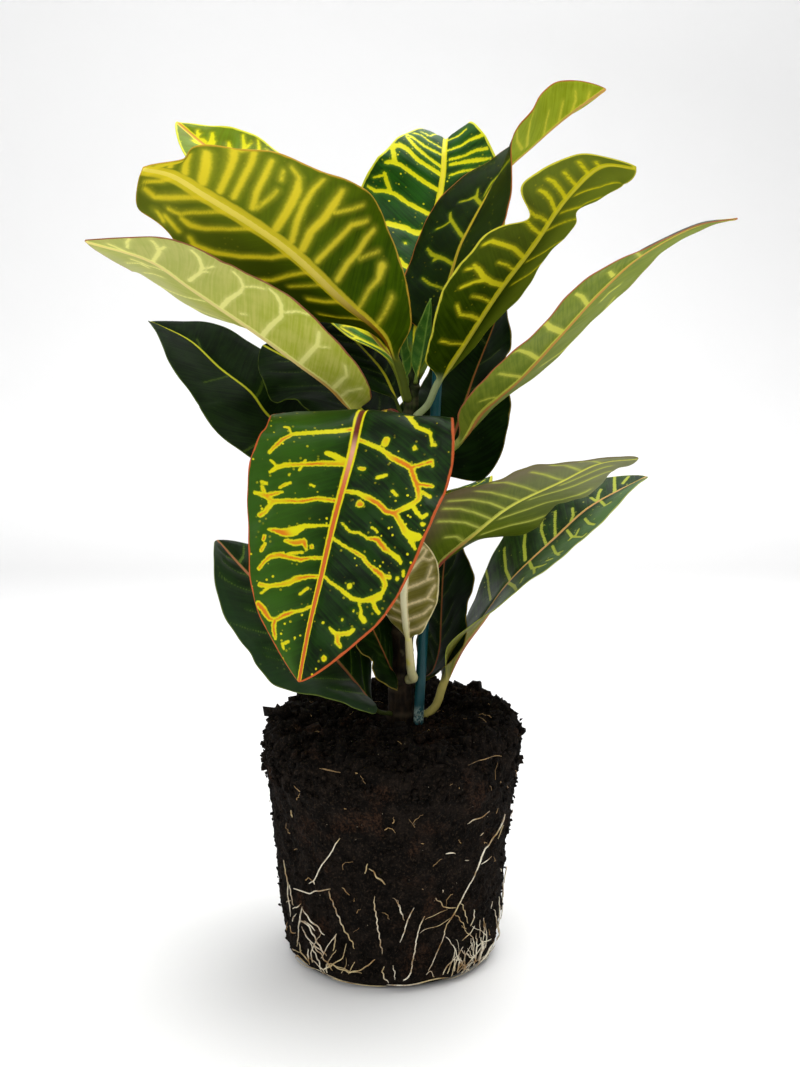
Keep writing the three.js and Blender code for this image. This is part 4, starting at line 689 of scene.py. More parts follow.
def leaf_rows(leaf, step, look):
    """Closed cross-sections of a leaf from its foot on the stem to its tip, and its fields."""
    line, away = rib_line(leaf)
    petiole = leaf["petiole"]
    blade = length_of(line) - petiole
    bare = leaf.get("bare", 0)
    stalk = leaf.get("stalk", STALKS[leaf["size"]])
    wide = max(int(leaf["width"] / step / 2) * 2, 10) + 1
    u = np.linspace(0, 1, int(blade / step) + 1) ** CROWDING
    v = np.linspace(-1, 1, wide)
    v = np.sign(v) * np.abs(v) ** CROWDING
    turn = np.radians(along(leaf["roll"], u)) * smooth(u, -0.05, 0.1)
    rib_place, side, rise = rib_frames(leaf, line, petiole + u * blade, turn)
    uu, vv = np.meshgrid(u, v, indexing="ij")
    width = half_width(leaf, uu) * np.where(vv > 0, 1 - leaf["lean"], 1 + leaf["lean"])
    for sign, place, depth, span in leaf.get("notches", ()):
        width = width * (1 - (vv * sign > 0) * depth * np.exp(-(((uu - place) / span) ** 2)))
    width = np.maximum(width, LEAST_HALF)
    x = vv * width
    y = uu * blade
    vein = vein_field(leaf, x, y, blade)
    rib_half = mix(*look["rib_mm"], uu**0.7)
    margin = width - np.abs(x)
    puff = look["puff"] * (1 - np.exp(-np.maximum(vein, 0) / 2.2)) * smooth(margin, 0, 6)
    puff = puff * smooth(np.abs(x), rib_half[:, :1] * 0.8, rib_half[:, :1] * 0.8 + 3)
    across, up = blade_offsets(leaf, uu, vv, width, puff)
    sheet = rib_place[:, None] + side[:, None] * across[..., None] + rise[:, None] * up[..., None]
    top, bottom = blade_faces(sheet, x, uu, margin, look, stalk)
    # The petiole: round rings that turn into the blade over its first tenth.
    flatter = smooth(u - bare, *ROUND_TO_FLAT)[:, None, None]
    round_top, round_bottom = rings(rib_place, side, rise, stalk * (1 - u), wide)
    top = mix(round_top, top, flatter)
    bottom = mix(round_bottom, bottom, flatter)
    rows = max(int(petiole / 1.2), 4)
    share = np.linspace(0, 1, rows, endpoint=False)
    p_place, p_side, p_rise = rib_frames(leaf, line, share * petiole, np.zeros(rows))
    foot = smooth(share, 0.0, 0.25)[:, None]
    p_side = unit(mix(np.cross(away, UP)[None], p_side, foot))
    p_rise = unit(mix(UP[None], p_rise, foot))
    swell = stalk * (1 + 0.18 * np.exp(-((share / 0.12) ** 2)))
    p_top, p_bottom = rings(p_place, p_side, p_rise, swell, wide)
    top = np.concatenate([p_top, top])
    bottom = np.concatenate([p_bottom, bottom])
    loops = np.concatenate([top, bottom[:, ::-1], top[:, :1]], axis=1)
    start = np.broadcast_to(loops[0].mean(0), loops[0].shape)[None]
    end = np.broadcast_to(loops[-1].mean(0), loops[-1].shape)[None]
    loops = np.concatenate([start, loops, end])

    def field(values, petiole_value):
        """A value on every point: values on both faces of the blade, one value on the petiole."""
        before = np.full((rows + 1, wide), float(petiole_value))
        grid = np.concatenate([before, values, values[-1:]])
        return np.concatenate([grid, grid[:, ::-1], grid[:, :1]], axis=1)

    below = np.zeros(loops.shape[:2])
    below[:, wide : 2 * wide] = 1
    return loops, {
        "vein_mm": field(vein, 6),
        "rib_mm": field(np.abs(x) - rib_half, -2),
        "margin_mm": field(margin, 6),
        "along": field(uu, 0),
        "stalk": field(1 - smooth(uu, 0, 0.05), 1),
        "underside": below,
        "half": field(vv, 0),
        "streak": field(y - 0.62 * np.abs(x), 0),
    }


def segments_distance(x, y, points, widths):
    """Least distance in mm from each (x, y) to a tapering line, less the line's half width there."""
    best = np.full(x.shape, 50.0)
    for (x0, y0), (x1, y1), w0, w1 in zip(points, points[1:], widths, widths[1:]):
        dx, dy = x1 - x0, y1 - y0
        share = np.clip(((x - x0) * dx + (y - y0) * dy) / max(dx * dx + dy * dy, 1e-6), 0, 1)
        gap = np.hypot(x - x0 - share * dx, y - y0 - share * dy) - mix(w0, w1, share)
        best = np.minimum(best, gap)
    return best


def grown_veins(leaf, blade):
    """Side veins laid out by rule: chevrons that bend towards the tip, some forked, some cut short."""
    rng = np.random.default_rng(leaf["seed"])
    style = {**USUAL_VEINS, **GROWN.get(leaf["look"], {})}
    count, slope, width = style["count"], style["slope"], style["width"]
    veins = []
    for sign in (-1, 1):
        for k in range(count):
            u0 = (k + 0.5 + rng.uniform(-0.25, 0.25)) / count * 0.9 + 0.03
            reach = rng.uniform(*style["reach"])
            rise = slope * (1 - 0.35 * u0) * rng.uniform(0.85, 1.15)
            half = float(half_width(leaf, np.array(min(u0 + 0.08, 0.97))))
            wide = width * rng.uniform(0.6, 1.25)
            points, widths = [], []
            for t in np.linspace(0, 1, 7):
                s = t * reach * half
                y = u0 * blade + rise * s + 0.35 * s * t
                points.append((sign * s, y + rng.uniform(-0.3, 0.3)))
                widths.append(wide * (1 - 0.75 * t))
            veins.append((points, widths))
            if rng.random() < style["forks"]:
                at = int(rng.integers(2, 5))
                x0, y0 = points[at]
                away = rng.choice((-1, 1)) * rng.uniform(0.25, 0.6)
                steps = np.linspace(0, 0.3 * half, 4)
                fork = [(x0 + sign * s, y0 + (rise + away) * s) for s in steps]
                veins.append((fork, [widths[at] * (1 - 0.25 * i) for i in range(4)]))
    return veins


def numbers(text):
    """Rows of numbers; a third number, a half width in tenths of a mm, holds until the next one."""
    rows, wide = [], 10.0
    for entry in text.split():
        values = [float(part) for part in entry.split(",")]
        wide = values[2] if len(values) > 2 else wide
        rows.append((values[0], values[1], wide / 10))
    return rows


def drawn_vein(leaf, text, blade):
    """A side vein or a spot listed point by point as u, v in hundredths and half width."""
    points, widths = [], []
    for u, v, wide in numbers(text):
        lean = 1 - leaf["lean"] if v > 0 else 1 + leaf["lean"]
        half = float(half_width(leaf, np.array(u / 100)))
        points.append((v / 100 * lean * half, u / 100 * blade))
        widths.append(wide)
    if len(points) == 1:
        x, y = points[0]
        points, widths = [(x, y), (x, y + 0.01)], widths * 2
    return points, widths


def vein_field(leaf, x, y, blade):
    """Distance in mm from each blade point to the edge of the nearest side vein, negative inside it."""
    best = np.full(x.shape, VEIN_REACH)
    if leaf["name"] in DRAWN:
        veins = [drawn_vein(leaf, text, blade) for text in DRAWN[leaf["name"]].split("/")]
    else:
        veins = grown_veins(leaf, blade)
    for points, widths in veins:
        low = min(p[1] for p in points) - VEIN_REACH - 1
        high = max(p[1] for p in points) + VEIN_REACH + 1
        rows = np.where((y[:, 0] > low) & (y[:, 0] < high))[0]
        if len(rows):
            part = slice(rows[0], rows[-1] + 1)
            gap = segments_distance(x[part], y[part], points, widths)
            best[part] = np.minimum(best[part], gap)
    return best


# ---- Materials ----------------------------------------------------------------------------------

# The nodes that the materials are made of: Blender's name, the inputs in the order in which add takes
# their values, the output that is handed on, and the settings.
MATHS = ("ShaderNodeMath", (0, 1, 2), 0)
NODES = dict(
    place=("ShaderNodeTexCoord", (), "Object", {}),
    field=("ShaderNodeAttribute", (), "Fac", {}),
    split=("ShaderNodeSeparateXYZ", (0,), "Z", {}),
    joined=("ShaderNodeCombineXYZ", (0, 1, 2), 0, {}),
    stretch=("ShaderNodeMapping", ("Vector", "Scale"), 0, {}),
    times=(*MATHS, dict(operation="MULTIPLY")),
    times_plus=(*MATHS, dict(operation="MULTIPLY_ADD")),
    less=(*MATHS, dict(operation="SUBTRACT")),
    over=(*MATHS, dict(operation="DIVIDE")),
    larger=(*MATHS, dict(operation="MAXIMUM")),
    # The soft step runs from its fourth to its fifth value while the first goes from the second to the
    # third.
    step=(
        "ShaderNodeMapRange", ("Value", "From Min", "From Max", "To Min", "To Max"), 0,
        dict(interpolation_type="SMOOTHSTEP"),
    ),
    mix=("ShaderNodeMix", (0, 6, 7), 2, dict(data_type="RGBA", clamp_factor=True)),
    noise=("ShaderNodeTexNoise", ("Vector", "Scale", "Detail", "Roughness"), 0, {}),
    cells=("ShaderNodeTexVoronoi", ("Vector", "Scale"), "Distance", {}),
    bump=("ShaderNodeBump", ("Height", "Distance", "Strength"), 0, {}),
    skin=(
        "ShaderNodeBsdfPrincipled",
        ("Base Color", "Roughness", "Normal", "IOR", "Specular IOR Level"), 0, {},
    ),
    glow=("ShaderNodeBsdfTranslucent", ("Color", "Normal"), 0, {}),
    shaders=("ShaderNodeMixShader", (0, 1, 2), 0, {}),
    surface=("ShaderNodeOutputMaterial", ("Surface",), None, {}),
)


def linear(hex_colour):
    """An sRGB hex colour as linear red, green, blue and alpha."""
    parts = [int(hex_colour[i : i + 2], 16) / 255 for i in (1, 3, 5)]
    return (*(c / 12.92 if c <= 0.04045 else ((c + 0.055) / 1.055) ** 2.4 for c in parts), 1.0)


def add(tree, kind, *values, output=None, **settings):
    """Adds one of NODES with its settings and its inputs, each a number, a colour or another node's
    output, and hands on its own output."""
    name, inputs, usual_output, usual = NODES[kind]
    made = tree.nodes.new(name)
    for key, value in {**usual, **settings}.items():
        setattr(made, key, value)
    for key, value in zip(inputs, values):
        if isinstance(value, bpy.types.NodeSocket):
            tree.links.new(value, made.inputs[key])
        elif value is not None:
            made.inputs[key].default_value = linear(value) if isinstance(value, str) else value
    if made.outputs:
        return made.outputs[output or usual_output]


def new_material(name):
    """An empty material, the short way to add its nodes, and its place in object coordinates."""
    material = bpy.data.materials.new(name)
    material.use_nodes = True
    material.node_tree.nodes.clear()
    put = partial(add, material.node_tree)
    return material, put, put("place")


def per(size_mm):
    """The scale of a texture whose lumps are about size_mm across."""
    return 1 / (size_mm * MM)


# How each kind of leaf on the plant is coloured. Croton leaves start green and yellow and turn dark
# with orange to red ribs as they age, so one plant carries all of these at once. rib_mm is the half
# width of the midrib's core at its foot and its tip, rim_mm the band of colour that flanks it. The half
# tone's span is the side, the two places across the blade and the share of the half tone, a colour
# laid over one half of the blade: painted shade on gold, a painted sheen on sheen and ripe, painted
# light on the lit half of front, and a second tone of the leaf's own on the others.
PLAIN = dict(
    dark="#132209", light="#23400c", halo="#4b6a14", vein="#ddd61a", core="#d6cf1c", core_at=-9.0,
    rib="#d8cf2a", rib_foot="#d8cf2a", flank="#cfc828", rib_edge="#b8bc22", rib_mm=(0.8, 0.3),
    rim_mm=(0.6, 0.3), edge="#b9b82c", edge_mm=0.5, below="#5c7420", below_dark="#3f5418",
    below_vein="#cfcb3c", below_rib="#ddd352", petiole="#7d8a2c", half_tone_and_painted_light="#16260b",
    half_tone_and_painted_light_span=(0, 0.0, 1.0, 0.0), tip="#16260b", tipped=0.0, glow="#9cb822", share=0.25, ragged=0.8,
    soft=0.25, flecks=0.3, puff=0.55, thickness=0.6, gloss=0.38, shine=0.1, below_foot="#ddd353",
    wash=1.0, edge_right=1.0, foot_dark=0.0, keel=1.0,
)
LOOKS = dict(
    front=dict(
        PLAIN, dark="#0c1907", light="#183508", halo="#35580f", vein="#d6cf14", core="#d2761a",
        core_at=-0.42, rib="#c8602a", rib_foot="#efc9b4", flank="#d9c21e", rib_edge="#dcd41e",
        rib_mm=(1.0, 0.6), rim_mm=(1.6, 0.3), edge="#b8562a", edge_mm=0.95, petiole="#6a1620",
        # Painted light: the lighter green half tone over one half stands in for light falling on that
        # half.
        half_tone_and_painted_light="#44701a", half_tone_and_painted_light_span=(1, -0.2, 0.7, 0.45), share=0.1, ragged=0.75, flecks=1.0, puff=0.7,
        shine=0.12, edge_right=0.42, foot_dark=0.36,
    ),
    gold=dict(
        PLAIN, dark="#39430c", light="#5c6612", halo="#96941c", vein="#dcc62e", rib="#eadf62",
        rib_foot="#cfa32a", flank="#e0c83c", rib_edge="#c9b02a", rib_mm=(0.8, 1.5),
        rim_mm=(1.6, 3.2), edge="#d8b040", edge_mm=0.4, below="#54740a", below_dark="#34500a",
        # Painted shade: the dark green half tone darkens the half of the blade that faces down, away
        # from the light.
        below_vein="#fff04a", below_rib="#fff08a", petiole="#75803a", half_tone_and_painted_light="#22340a",
        half_tone_and_painted_light_span=(1, 0.0, 0.45, 0.85), tip="#9ca63a", tipped=0.68, glow="#b8c40e", share=0.5,
        ragged=0.6, soft=0.8, flecks=0.4, shine=0.05, below_foot="#7d4a18", keel=0.45,
    ),
    silver=dict(
        PLAIN, rib="#e2d868", rib_edge="#cfd060", rib_mm=(1.2, 0.8), rim_mm=(0.7, 0.5),
        edge="#a0604a", edge_mm=0.3, below="#dbda66", below_dark="#c2ca40", below_vein="#fffca0",
        below_rib="#f6e69a", petiole="#8a7a34", half_tone_and_painted_light="#d0d09e", half_tone_and_painted_light_span=(1, 0.35, 0.9, 0.6),
        tip="#c2c492", tipped=0.45, glow="#b8c63c", share=0.4, ragged=0.5, soft=0.35, flecks=0.1,
        puff=0.4, shine=0.08, below_foot="#d8a452",
    ),
    bright=dict(
        PLAIN, dark="#143a08", light="#22590b", halo="#6f9a12", vein="#efe914", rib="#f4e63a",
        rib_foot="#f4e63a", flank="#f2e626", rib_edge="#e6e018", rib_mm=(1.1, 0.8),
        rim_mm=(0.9, 0.7), edge="#e4e23a", edge_mm=1.0, below="#8aa428", below_vein="#e0da40",
        petiole="#8a9430", glow="#a6c41e", share=0.3, ragged=0.9, flecks=1.0, shine=0.14,
    ),
    twist=dict(
        PLAIN, dark="#0d1a0a", light="#182c0c", vein="#b4b418", rib="#d0b234", rib_foot="#b9983a",
        rib_edge="#a8a028", rib_mm=(0.8, 0.5), edge="#c2763a", below="#bccc34",
        below_dark="#a6b624", below_vein="#ece64a", below_rib="#e6b86c", glow="#b4c82e",
        share=0.42, ragged=0.5, soft=0.4, shine=0.05, below_foot="#c98a4a",
    ),
    olive=dict(
        PLAIN, dark="#2a4210", light="#4a6414", rib_mm=(0.9, 0.8), rim_mm=(0.8, 1.2),
        edge="#e0d848", edge_mm=0.6, below="#42570a", below_dark="#2b3d06", below_vein="#f6ea2c",
        below_rib="#efe24a", petiole="#c2cf9c", half_tone_and_painted_light="#7e8c24", half_tone_and_painted_light_span=(-1, 0.05, 0.7, 0.8),
        tip="#a8b244", tipped=0.5, glow="#86961a", share=0.36, ragged=0.6, soft=0.3, flecks=0.5,
        shine=0.0,
    ),
    ash=dict(
        PLAIN, rib_mm=(0.9, 0.7), rim_mm=(0.7, 0.4), edge="#b8704a", edge_mm=0.4, below="#8f9e34",
        below_dark="#73882a", below_vein="#e4e45c", below_rib="#d8a050", petiole="#a9b25c",
        half_tone_and_painted_light="#98a448", half_tone_and_painted_light_span=(-1, 0.1, 0.7, 0.5), glow="#9cb030", share=0.3, ragged=0.5,
        soft=0.35, flecks=0.2, puff=0.4, shine=0.08, below_foot="#c98a4e",
    ),
    dark=dict(
        PLAIN, dark="#0b1606", light="#142508", halo="#1c300a", vein="#34460f", rib="#b6b428",
        rib_foot="#c2ba24", flank="#6c7a18", rib_edge="#3c4c10", rib_mm=(0.85, 0.5),
        rim_mm=(0.35, 0.25), edge="#47561c", edge_mm=0.25, petiole="#3f481c", glow="#5c7a18",
        share=0.12, flecks=0.15, puff=0.45, gloss=0.5, shine=0.02,
    ),
    red=dict(
        PLAIN, dark="#0c1806", light="#162a09", halo="#1e340a", vein="#39481a", rib="#a8603a",
        rib_foot="#a0503a", flank="#7a6c2c", rib_edge="#3f4c14", rib_mm=(0.7, 0.35),
        edge="#7a6c2c", edge_mm=0.35, petiole="#4a4a22", glow="#6c8a1c", share=0.16, gloss=0.46,
        shine=0.03,
    ),
    sheen=dict(
        PLAIN, dark="#11220b", light="#24400f", halo="#2c4a18", vein="#a9b23a", rib="#c98f5c",
        rib_foot="#cf8a58", flank="#c9a458", rib_edge="#b0ac40", rib_mm=(0.8, 0.45),
        rim_mm=(0.45, 0.4), edge="#9aa446", edge_mm=0.3, below="#7a7a2e", below_dark="#606028",
        # Painted sheen: the grey-green half tone on the upper face of one half stands in for light
        # glancing off it.
        below_vein="#8e9038", below_rib="#c0925c", petiole="#d2c26c", half_tone_and_painted_light="#587a40",
        half_tone_and_painted_light_span=(1, 0.1, 0.8, 0.6), glow="#7a9a2c", share=0.14, ragged=0.5, flecks=0.6, gloss=0.45,
        shine=0.14, below_foot="#a86c48", wash=0.0,
    ),
    grey=dict(
        PLAIN, dark="#2a4010", light="#46601a", rib_mm=(0.9, 0.5), rim_mm=(0.5, 0.3),
        edge="#77703f", edge_mm=0.3, below="#5e6e16", below_dark="#4c5c0e", below_vein="#bcc254",
        below_rib="#dcdc60", petiole="#c0cc72", half_tone_and_painted_light="#63503c", half_tone_and_painted_light_span=(1, 0.3, 1.0, 0.85),
        tip="#9a9878", tipped=0.52, glow="#98a838", share=0.24, ragged=0.3, soft=0.4, flecks=0.0,
        puff=0.4, shine=0.08, below_foot="#9a4a3a",
    ),
    pale=dict(
        PLAIN, dark="#5c6a2a", light="#7a7f38", halo="#a49a50", vein="#c9a070", rib="#ddd4a4",
        rib_edge="#c9c080", rib_mm=(1.9, 1.2), rim_mm=(0.5, 0.5), edge="#e2d6a0", edge_mm=0.35,
        below="#857c36", below_dark="#6a6428", below_vein="#ead6a2", below_rib="#f4edc4",
        petiole="#e8e2a8", glow="#8c8234", share=0.2, ragged=0.5, soft=0.45, flecks=0.0,
        puff=0.35, shine=0.08,
    ),
    young=dict(
        PLAIN, dark="#2f5c16", light="#4a7c22", halo="#5e9030", vein="#74a034", rib="#86ac44",
        rib_foot="#86ac44", flank="#7ea43e", rib_edge="#76a03a", rib_mm=(0.4, 0.15),
        rim_mm=(0.3, 0.2), edge="#85a444", edge_mm=0.3, below="#48762a", below_dark="#3c6624",
        below_vein="#78a440", below_rib="#8eb254", petiole="#8ea048", glow="#78a834", ragged=0.4,
        flecks=0.0, puff=0.1, thickness=0.45, shine=0.15,
    ),
    ripe=dict(
        PLAIN, dark="#11220b", light="#1c350e", halo="#2a4a16", vein="#587428", rib="#c07858",
        rib_foot="#bf7450", flank="#9a8444", rib_edge="#6c7434", rib_mm=(1.15, 0.6),
        rim_mm=(0.45, 0.4), edge="#5c6c2c", edge_mm=0.25, below="#6a6c26", below_dark="#525420",
        # Painted sheen: the grey-green half tone along one half stands in for the pale glare of light on
        # that edge.
        below_vein="#8e9038", below_rib="#c0925c", petiole="#3c4a1e", half_tone_and_painted_light="#2f4a2c",
        half_tone_and_painted_light_span=(-1, 0.3, 1.0, 0.45), glow="#7a9a2c", share=0.14, ragged=0.5, flecks=0.6, puff=1.0,
        gloss=0.45, shine=0.2, below_foot="#a86c48", wash=0.0,
    ),
    lemon=dict(
        PLAIN, dark="#1f4f0a", light="#3a7a10", halo="#dcd61c", vein="#efe914", rib="#dca03a",
        rib_foot="#b8902a", flank="#f2e626", rib_edge="#e6e018", rib_mm=(1.1, 0.8),
        rim_mm=(0.9, 0.7), edge="#e4e23a", edge_mm=1.0, below="#8aa428", below_vein="#e0da40",
        petiole="#8a9430", tip="#c6c81c", tipped=0.3, glow="#a6c41e", share=0.3, ragged=0.9,
        flecks=0.4, shine=0.14,
    ),
)


def leaf_material(name, look):
    """Living croton leaf: a thin blade under a waxy skin. The skin gives a broad soft gloss, the blade
    lets green and yellow light through, and the side veins, midrib and margin lack green."""
    material, put, place = new_material(f"croton_leaf_{name}")
    vein, rib, margin, underside, stalk, reach, half, streak = (
        put("field", attribute_name=field)
        for field in ("vein_mm", "rib_mm", "margin_mm", "underside", "stalk", "along", "half", "streak")
    )
    # Fine side veins: streaks that run like the large ones, a millimetre apart.
    lines = put("noise", put("joined", streak, put("times", rib, 0.06), half), 0.9, 2.0)
    ragged = put("less", put("noise", place, per(1.3), 3.0, 0.65), 0.5)
    vein = put("times_plus", ragged, look["ragged"] * 1.6, vein)
    rib = put("times_plus", ragged, 0.5, rib)
    margin = put("times_plus", put("less", put("noise", place, per(5.0), 2.0), 0.5), 1.2, margin)
    blotches = put("times", put("noise", place, per(11.0), 3.0, 0.55), 0.5)
    patches = put("times_plus", lines, 0.5, blotches)
    in_vein = put("step", vein, 0.12 + look["soft"], 0.12 - look["soft"])
    near_vein = put("step", vein, 1.2 + 2 * look["soft"], 0.0)
    warm = put("step", put("noise", place, per(22.0), 2.0), 0.4, 0.56)
    in_core = put("times", put("step", vein, look["core_at"] + 0.3, look["core_at"] - 0.3), warm)
    in_rib = put("step", rib, 0.12, -0.18)
    share_of_rim = put("over", rib, put("step", reach, 0.0, 1.0, *look["rim_mm"]))
    on_flank = put("step", share_of_rim, 0.6, 0.05)
    on_rib_edge = put("step", share_of_rim, 1.0, 0.6)
    wide_edge = put("step", half, -0.1, 0.1, 1.0, look["edge_right"])
    on_edge = put("over", margin, wide_edge)
    on_edge = put("step", on_edge, look["edge_mm"] + 0.3, look["edge_mm"] - 0.2)
    specks = put("step", put("cells", place, per(2.9)), 0.22, 0.12)
    chosen = put("step", put("noise", place, per(12.0), 1.0), 0.55, 0.6)
    beside = put("larger", chosen, put("times", put("step", vein, 3.0, 1.0), 0.35))
    flecks = put("times", put("times", specks, beside), look["flecks"])
    # The half tone: a colour over one half of the blade. It is painted shade on gold, a painted sheen on
    # sheen and ripe, painted light on the lit half of front, and the leaf's own second tone elsewhere.
    side, over_half_from, over_half_to, over_half_share = look["half_tone_and_painted_light_span"]
    half_tone_and_painted_light = put("step", put("times", half, float(side)), over_half_from, over_half_to, 0.0, over_half_share)
    tip = put("step", reach, 0.25, 0.95, 0.0, look["tipped"])
    core = put("mix", put("step", reach, 0.2, 0.5), look["rib_foot"], look["rib"])
    below_core = put("mix", put("step", reach, 0.08, 0.4), look["below_foot"], look["below_rib"])
    faces = []
    for low, high, ground, over in (
        (
            0.38, 0.62, ("dark", "light"), (
                (tip, "tip"), (half_tone_and_painted_light, "half_tone_and_painted_light"), (put("times", near_vein, 0.45), "halo"), (flecks, "vein"),
                (in_vein, "vein"), (in_core, "core"), (on_rib_edge, "rib_edge"), (on_flank, "flank"),
                (in_rib, core), (on_edge, "edge"),
            ),
        ),
        # The underside has the same pattern, washed out.
        (
            0.36, 0.64, ("below", "below_dark"), (
                (put("times", half_tone_and_painted_light, look["wash"]), "half_tone_and_painted_light"), (tip, "tip"),
                (put("times", near_vein, 0.25), "below_vein"), (put("times", flecks, 0.4), "below_vein"),
                (put("times", in_vein, 0.9), "below_vein"),
                (put("times", on_rib_edge, 0.75), "below_vein"), (in_rib, below_core), (on_edge, "edge"),
            ),
        ),
    ):
        face = put("mix", put("step", patches, low, high), *(look[key] for key in ground))
        for mask, colour in over:
            face = put("mix", mask, face, look[colour] if isinstance(colour, str) else colour)
        faces.append(face)
    colour = put("mix", underside, *faces)
    foot = put("mix", put("noise", place, per(4.0), 2.0), look["petiole"], look["below_dark"])
    dark_foot = put("step", reach, look["foot_dark"], look["foot_dark"] * 0.8 - 0.001)
    stalk = put("larger", stalk, put("times", dark_foot, put("step", rib, 0.5, -0.1)))
    colour = put("mix", stalk, colour, put("mix", 0.6, foot, look["petiole"]))
    # Relief too fine for the mesh: the side veins and the grain of the skin.
    height = put("times_plus", put("noise", place, per(0.7), 2.0), 0.5, lines)
    normal = put("bump", height, 0.12 * MM, 0.5)
    gloss = look["gloss"]
    rough = put("noise", place, per(14.0), 2.0)
    rough = put("step", rough, 0.3, 0.7, gloss - 0.05, gloss + 0.08)
    rough = put("times_plus", underside, 0.16, rough)
    skin = put("skin", colour, rough, normal, 1.4, look["shine"])
    glow = put("glow", put("mix", 0.25, colour, look["glow"]), normal)
    put("surface", put("shaders", look["share"], skin, glow))
    return material


def peat_material():
    """Moist moulded peat: near black, dull, crumbly, with rust-brown fibrous patches and pale specks
    that are painted highlights, small glints of light on the wet crumbs.
    """
    material, put, place = new_material("moist_peat")
    soft = put("noise", place, per(7.0), 4.0, 0.65)
    grain = put("noise", place, per(1.1), 3.0, 0.7)
    rusty = put("step", put("noise", place, per(19.0), 2.0), 0.55, 0.7)
    rusty = put("times", rusty, put("step", grain, 0.4, 0.6))
    # Painted highlights: pale specks in small clusters stand in for glints of light on the moist peat,
    # which is too dull to give them itself.
    specks = put("step", put("cells", place, per(3.0)), 0.08, 0.04)
    specks = put("times", specks, put("step", put("noise", place, per(6.0), 1.0), 0.56, 0.62))
    colour = put("mix", put("step", soft, 0.42, 0.68), "#0a0806", "#1a1511")
    colour = put("mix", put("step", grain, 0.5, 0.72, 0.0, 0.7), colour, "#352b22")
    colour = put("mix", put("times", rusty, 0.5), colour, "#3c271a")
    colour = put("mix", specks, colour, "#8f8572")
    fine = put("noise", place, per(0.6), 3.0, 0.7)
    height = put("times_plus", fine, 0.6, put("cells", place, per(1.3)))
    put("surface", put("skin", colour, 0.95, put("bump", height, 0.5 * MM, 0.8), 1.4, 0.1))
    return material


def fibre_material(name, pale, dark, white):
    """Dry plant fibre and young root skin: satin, cream to tan, darker in blotches along its length."""
    material, put, place = new_material(name)
    blotch = put("step", put("noise", place, per(6.0), 3.0, 0.6), 0.38, 0.68)
    pale = put("mix", put("step", put("noise", place, per(24.0), 1.0), 0.44, 0.56), pale, white)
    fine = put("step", put("noise", place, per(0.9), 2.0), 0.35, 0.7, 0.0, 0.35)
    colour = put("mix", fine, put("mix", blotch, pale, dark), dark)
    normal = put("bump", put("noise", place, per(0.5), 2.0), 0.12 * MM, 0.5)
    put("surface", put("skin", colour, 0.6, normal, 1.45))
    return material


def bark_material():
    """Young croton bark: dull grey-brown with raised leaf scars, turning green towards the tip."""
    material, put, place = new_material("croton_bark")
    streaks = put("noise", put("stretch", place, (1.0, 1.0, 0.22)), per(1.6), 3.0, 0.6)
    brown = put("mix", put("step", streaks, 0.35, 0.7), "#120d08", "#2c2115")
    green = put("mix", put("step", streaks, 0.3, 0.7), "#161d0a", "#2b3614")
    colour = put("mix", put("step", put("split", place), *GREEN_BARK), brown, green)
    scar = put("times", put("field", attribute_name="scar"), 0.3)
    colour = put("mix", scar, colour, "#574c38")
    patch = put("step", put("noise", place, per(8.0), 2.0), 0.66, 0.76, 0.0, 0.5)
    colour = put("mix", patch, colour, "#6f6850")
    put("surface", put("skin", colour, 0.75, put("bump", streaks, 0.5 * MM, 0.7), 1.45, 0.15))
    return material


def stake_material(coat, shade):
    """Thin teal plastic coat on a plant stake: satin, faintly ribbed, scuffed white just above the
    soil."""
    material, put, place = new_material("teal_plastic_coat")
    height = put("split", place)
    low, high = SCUFF
    scuff = put("times", put("step", height, low, low + 0.002), put("step", height, high, high - 0.004))
    scuff = put("times", scuff, put("step", put("noise", place, per(1.6), 3.0, 0.7), 0.42, 0.55))
    dirt = put("step", put("noise", place, per(1.2), 3.0, 0.6), 0.5, 0.6)
    dirt = put("times", put("step", height, *CLEAN_STAKE), dirt)
    colour = put("mix", put("noise", place, per(5.0), 2.0), shade, coat)
    colour = put("mix", scuff, colour, "#8fa39c")
    colour = put("mix", dirt, colour, "#241b14")
    rough = put("times_plus", scuff, 0.3, 0.42)
    normal = put("bump", put("noise", place, per(1.0), 2.0), 0.08 * MM, 0.4)
    put("surface", put("skin", colour, rough, normal, 1.5, 0.25))
    return material


def floor_material():
    """Matt white studio board, with painted shade: a grey band across the floor behind the plant that
    tones down the light falling there.
    """
    material, put, place = new_material("white_board")
    depth = put("split", place, output="Y")
    colour = put("mix", put("noise", place, per(180.0), 2.0), "#f6f6f5", "#fafafa")
    # Painted shade: from just before the plant to the foot of the backdrop the white board is painted
    # grey, standing in for less light there.
    colour = put("mix", put("step", depth, -0.25, 0.4), colour, "#dcdcdc")
    colour = put("mix", put("step", depth, 1.2, 1.9), colour, "#fafafa")
    put("surface", put("skin", colour, 0.75))
    return material


# ---- Root ball ----------------------------------------------------------------------------------

STEM_FOOT = (5, -2)  # Where the stem leaves the ball, in mm.
WALL_RADIUS = 55  # The wall's mean radius, in mm.
# The mesh of the ball: its step in mm, and its rings on the foot, the rounded edge and the top.
BALL_STEP = 0.85
FOOT_RINGS, EDGE_RINGS, TOP_RINGS = 18, 12, 68
# The cloud and cell textures that crumble the ball, each with its size and strength in mm.
CRUMBLES = (
    ("CLOUDS", 7.0, 2.8), ("VORONOI", 3.2, 2.6), ("CLOUDS", 2.0, 2.6), ("VORONOI", 1.6, 1.3),
)
# Where they take hold, in metres: above the flat foot, away from the stem, and fully near the top.
FLAT_FOOT = (0.0005, 0.006)
STEM_ROOM = (0.008, 0.016)
CRUMBLY = (0.080, 0.100)
